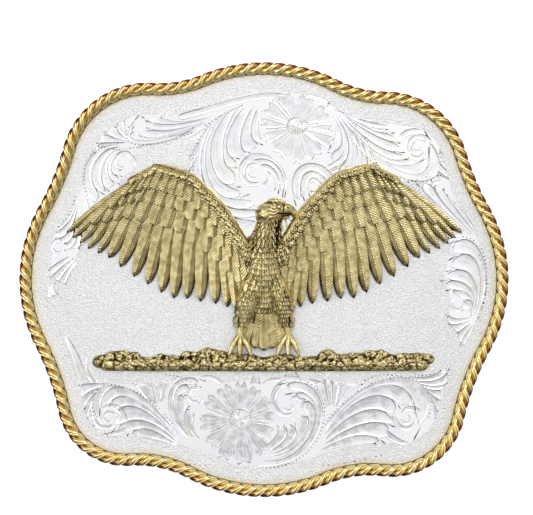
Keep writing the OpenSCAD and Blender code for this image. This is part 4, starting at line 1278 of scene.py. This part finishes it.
def store_recess(piece, passes, depth, foot=0.5):
    """Stores how far each point lies inside the softened skin, as patina and painted shade in the hollows,
    and paints shade on the foot near the face.
    """
    co = points_of(piece)
    normal = np.array([v.normal for v in piece.data.vertices])
    ends = np.array([e.vertices[:] for e in piece.data.edges])
    soft = co.copy()
    count = np.zeros(len(co))
    np.add.at(count, ends[:, 0], 1)
    np.add.at(count, ends[:, 1], 1)
    for _ in range(passes):
        total = np.zeros_like(soft)
        np.add.at(total, ends[:, 0], soft[ends[:, 1]])
        np.add.at(total, ends[:, 1], soft[ends[:, 0]])
        soft = total / np.maximum(count, 1)[:, None]
    inside = ((soft - co) * normal).sum(1) / depth
    height = (co[:, 2] - face_z(co[:, 0])) / foot_height
    store(piece, "recess", (0.3 + inside + foot * np.clip(1 - height, 0, 1)).clip(0, 1))


# %% Body, wing arms and legs
arm = [(x / mm, y / mm, 1.2) for x, y in wing_edge]
wax = []
for side in (-1, 1):
    wax.append(tube([(side * x, y, z) for x, y, z in arm], [1.9, 1.75, 1.6, 1.5, 1.1], flat=0.85))
    wax.append(tube([(side * 2.6, -1.5, 0.8), (side * 3.6, -5, 0.8), (side * 4.4, -8.4, 0.9)],
                    [2.4, 2.2, 1.2], flat=0.85))
    wax.append(tube([(side * 4.4, -8, 0.9), (side * 4.9, -11.2, 0.9)], [0.85, 0.8]))
wax.append(tube([(0, 6, 0.3), (0, 1, 0.4), (0, -4, 0.4)], [4.3, 4.2, 3.0], flat=0.62))
wax.append(tube([(0.2, 7, 0.6), (0.8, 11, 0.7), (1.2, 13.4, 0.7)], [3.3, 2.6, 2.4], flat=0.8))
body = melt(wax, 0.22 * mm, 4)
store_recess(body, 12, 0.35 * mm)
print("body skin:", len(body.data.vertices), "points")

# %% Small feathers on the body
ray_from, body_foot, edge_turn = 0.05, 0.35 * mm, math.radians(16)


def lay_on(skin, x, y, angle, length, width, form):
    """A small feather that lies on the skin under a point of the plan, tip slightly raised."""
    start, down = Vector((x * mm, y * mm, ray_from)), Vector((0, 0, -1))
    hit, place, normal, _ = skin.ray_cast(start, down)
    if not hit or normal.z < 0.2:
        return
    way = Vector((math.cos(angle), math.sin(angle), 0))
    end = skin.ray_cast(start + way * length * mm, down)
    middle = skin.ray_cast(start + way * length / 2 * mm, down)
    root_up = place.z - face_z(place.x) + 0.03 * mm
    tip_up = (end[1].z - face_z(end[1].x) if end[0] else root_up - 0.6 * mm) + 0.2 * mm
    if middle[0]:
        tip_up = max(tip_up, 2 * (middle[1].z - face_z(middle[1].x) + 0.14 * mm) - root_up)
    tilt = -normal.dot(Vector((-way.y, way.x, 0))) / max(normal.z, 0.3) * width / 2 * mm
    small_feathers.append(lay_feather(
        (place.x, place.y), angle, length * mm, width * mm, root_up, tip_up, tilt,
        small=True, form=form, foot_down=body_foot))


def across_row(count, row):
    """Places across a row of feathers, from about -1 to 1; every other row is moved by half a step."""
    return [(2 * k + 1 + row % 2) / count - 1 for k in range(count)]


small_feathers = []
# Neck hackles, from the head down
for row in range(8):
    t = row / 7
    for s in across_row(6 + row // 2, row):
        lay_on(body, spread(0.4, 1.6, 1 - t) + s * spread(2.0, 3.5, t), spread(13.4, 7.4, t) + 0.4 * s * s,
               math.radians(-96 + 24 * s), random.uniform(1.9, 2.4), 1.0, hackle_form)
# Breast
for row in range(12):
    t = row / 11
    for s in across_row(9 - row // 4, row):
        lay_on(body, s * spread(4.3, 2.7, t), spread(6.8, -5.6, t) + 0.9 * s * s,
               math.radians(-90 + 22 * s), random.uniform(1.5, 1.75), 1.15, small_form)
# Thighs, and two rows along the leading edge of each wing
for side in (-1, 1):
    for row in range(8):
        for s in across_row(4, row):
            lay_on(body, side * (2.9 + row * 0.26) + s * (2.0 - row * 0.1), -2.2 - row * 0.86,
                   math.radians(-90 + side * 12 + 14 * s), 1.6, 1.05, small_form)
    for off, first in ((0.75, 0), (-0.35, 0.5)):
        for k in range(22):
            share = min(0.02 + 0.96 * (k + first) / 22, 0.98)
            place = on_edge(share) / mm
            ahead = on_edge(share + 0.02) / mm - place
            ahead /= np.linalg.norm(ahead)
            spot = place + np.array([-ahead[1], ahead[0]]) * off
            angle = math.atan2(ahead[1], ahead[0]) - edge_turn
            angle = angle if side == 1 else math.pi - angle
            lay_on(body, side * spot[0], spot[1], angle, 2.5, 1.25, small_form)
print("small feathers:", len(small_feathers))
small_feathers = relief(small_feathers, 60)

# %% Head and beak
head = melt([
    tube([(0.9, 13.2, 0.9), (2.4, 14.4, 1.0)], [2.7, 2.35], flat=0.85),
    tube([(1.4, 16.0, 2.0), (3.6, 15.9, 2.35), (4.5, 15.1, 2.2)], [0.6, 0.62, 0.35]),
    tube([(3.4, 14.3, 1.5), (5.0, 14.4, 1.5), (6.2, 13.5, 1.4), (6.35, 12.1, 1.2)], [1.45, 1.25, 0.8, 0.1]),
    tube([(3.2, 12.9, 1.2), (5.0, 12.7, 1.1)], [0.85, 0.3]),
], 0.1 * mm, 3)
store_recess(head, 14, 0.2 * mm, foot=0.3)
co = points_of(head) / mm
recess = np.empty(len(co), np.float32)
head.data.attributes["recess"].data.foreach_get("value", recess)


def near(a, b, reach):
    """1 on the line from a to b in the plan, falling to 0 at some reach from it."""
    a, b = np.array(a), np.array(b)
    t = np.clip((co[:, :2] - a) @ (b - a) / ((b - a) @ (b - a)), 0, 1)
    return np.exp(-(np.linalg.norm(co[:, :2] - a - t[:, None] * (b - a), axis=1) / reach) ** 2)


# Dark lines at the mouth, the root of the beak and the nostril, and a shadow round the eye
for depth, a, b, reach in ((0.95, (2.6, 13.5), (5.6, 13.45), 0.17), (0.95, (4.15, 15.3), (3.9, 13.6), 0.16),
                           (0.95, (4.75, 14.7), (5.1, 14.6), 0.15), (0.76, (3.0, 14.75), (3.1, 14.75), 0.8)):
    recess = np.maximum(recess, depth * near(a, b, reach))
store(head, "recess", recess)
# Fine strokes that run back from the beak
beak_x, beak_y = 4.6, 14
back = np.hypot(co[:, 0] - beak_x, co[:, 1] - beak_y)
barb = np.arctan2(co[:, 1] - beak_y, beak_x - co[:, 0]) * 26 + 1.5 * np.sin(3 * back)
store(head, "barb", np.where((co[:, 0] < 3.9) & (back > 1.2), barb, 0))

# %% Eye and lid
eye_x, eye_y, eye_up = 3.05 * mm, 14.75 * mm, 2.82 * mm
settle()
bpy.ops.mesh.primitive_uv_sphere_add(
    segments=24, ring_count=14, radius=0.5 * mm, location=(eye_x, eye_y, face_z(eye_x) + eye_up))
eye = bpy.context.object
bpy.ops.object.transform_apply(location=True, rotation=True, scale=True)
bpy.ops.mesh.primitive_torus_add(
    major_segments=28, minor_segments=8, major_radius=0.68 * mm, minor_radius=0.15 * mm,
    location=(eye_x, eye_y, face_z(eye_x) + eye_up + 0.04 * mm))
lid = bpy.context.object
bpy.ops.object.transform_apply(location=True, rotation=True, scale=True)
for part, value in ((eye, 0.05), (lid, 0.25)):
    store(part, "recess", np.full(len(part.data.vertices), value))

# %% Toes and talons
claws = []
for side in (-1, 1):
    ankle = np.array([side * 4.9, -11.2])
    for toe in (-1, 0, 1):
        knuckle, tip = ankle + [toe * 1.2, -1.6], ankle + [toe * 1.95, -3.4]
        bend, point = tip + [toe * 0.3, -0.8], tip + [toe * 0.35, -1.4]
        for course, radii in (([(*ankle, 1.1), (*knuckle, 2.0), (*tip, 2.3)], [0.72, 0.62, 0.52]),
                              ([(*tip, 2.4), (*bend, 2.6), (*point, 2.0)], [0.42, 0.3, 0.06])):
            claws.append(tube(course, radii, sides=12, steps=6))
claws = melt(claws, 0.11 * mm, 2)
store_recess(claws, 8, 0.16 * mm, foot=0.3)

# %% Rocky ledge
ledge_y, ledge_half, stones = -16.6, 32.4, 26
rock_wax = []
for k in range(stones):
    x = spread(-ledge_half, ledge_half, k / (stones - 1)) + random.uniform(-0.6, 0.6)
    r = random.uniform(1.3, 2.1) * (1 - 0.3 * abs(x) / ledge_half)
    y = ledge_y + random.uniform(-0.6, 0.9)
    lean = random.uniform(-0.5, 0.5)
    rock_wax.append(tube([(x - r, y - lean, 0), (x + r, y + lean, 0)], [r, r * random.uniform(0.6, 1.0)],
                         flat=0.8, sides=14, steps=4))
# One long stone ties them together, and four low peaks stand out of them
rock_wax.append(tube([(-ledge_half, ledge_y - 0.7, 0), (ledge_half, ledge_y - 0.7, 0)], [1.5, 1.5],
                     sides=14, steps=40))
for x, r in ((-11.5, 2.6), (-8.6, 1.8), (13, 2.2), (24, 2.0)):
    rock_wax.append(tube([(x - r, ledge_y - 0.6, 0), (x, ledge_y + 1.1, 0), (x + r, ledge_y - 0.6, 0)],
                         [r * 0.5, r * 0.8, r * 0.5], flat=0.8, sides=14, steps=4))
ledge = melt(rock_wax, 0.15 * mm, 3)
co = points_of(ledge)
normal = np.array([v.normal for v in ledge.data.vertices])


def cracked(p, scale):
    """Height of broken rock: flat lumps with a crack between one and the next."""
    near_two = noise.voronoi(Vector(p) * scale)[0][:2]
    return min((near_two[1] - near_two[0]) * 1.6, 0.5)


lumps = np.array([0.5 * cracked(p, 0.55) + 0.34 * cracked(p, 1.5) + 0.3 * noise.noise(Vector(p) * 0.7)
                  + 0.12 * noise.noise(Vector(p) * 3) + 0.07 * noise.noise(Vector(p) * 7) for p in co / mm])
high = np.clip((co[:, 2] - face_z(co[:, 0])) / (0.7 * mm), 0, 1)
co += normal * ((lumps - 0.36) * high * mm)[:, None]
co[:, 2] = np.maximum(co[:, 2], face_z(co[:, 0]) - 0.1 * mm)
move_points(ledge, co)
store_recess(ledge, 14, 0.38 * mm, foot=0.3)

# %% Put the overlay's castings on the plate
for piece in (body, head, claws, ledge):
    settle()
    piece.select_set(True)
    bpy.context.view_layer.objects.active = piece
    bpy.ops.object.shade_smooth()
bpy.data.objects.remove(long_feather)
bpy.data.objects.remove(small_feather)
head = join([head, eye, lid])
castings = (
    (right_wing, "right_wing_feathers"), (left_wing, "left_wing_feathers"), (tail, "tail_feathers"),
    (body, "eagle_body"), (small_feathers, "body_feathers"), (head, "eagle_head"), (claws, "eagle_claws"),
    (ledge, "rocky_ledge"),
)
for piece, name in castings:
    dress(piece, name, blackened_and_shaded_gold)
    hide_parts("eagle_overlay")

# %% [markdown]
# ## Back
# The loop and the hook are plain plated metal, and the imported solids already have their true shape.
# They stay as they are and only get the satin nickel finish.

# %% Finish the fittings
for name in ("belt_loop", "belt_hook"):
    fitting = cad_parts[name]
    fitting.data.materials.clear()
    fitting.data.materials.append(satin_nickel)
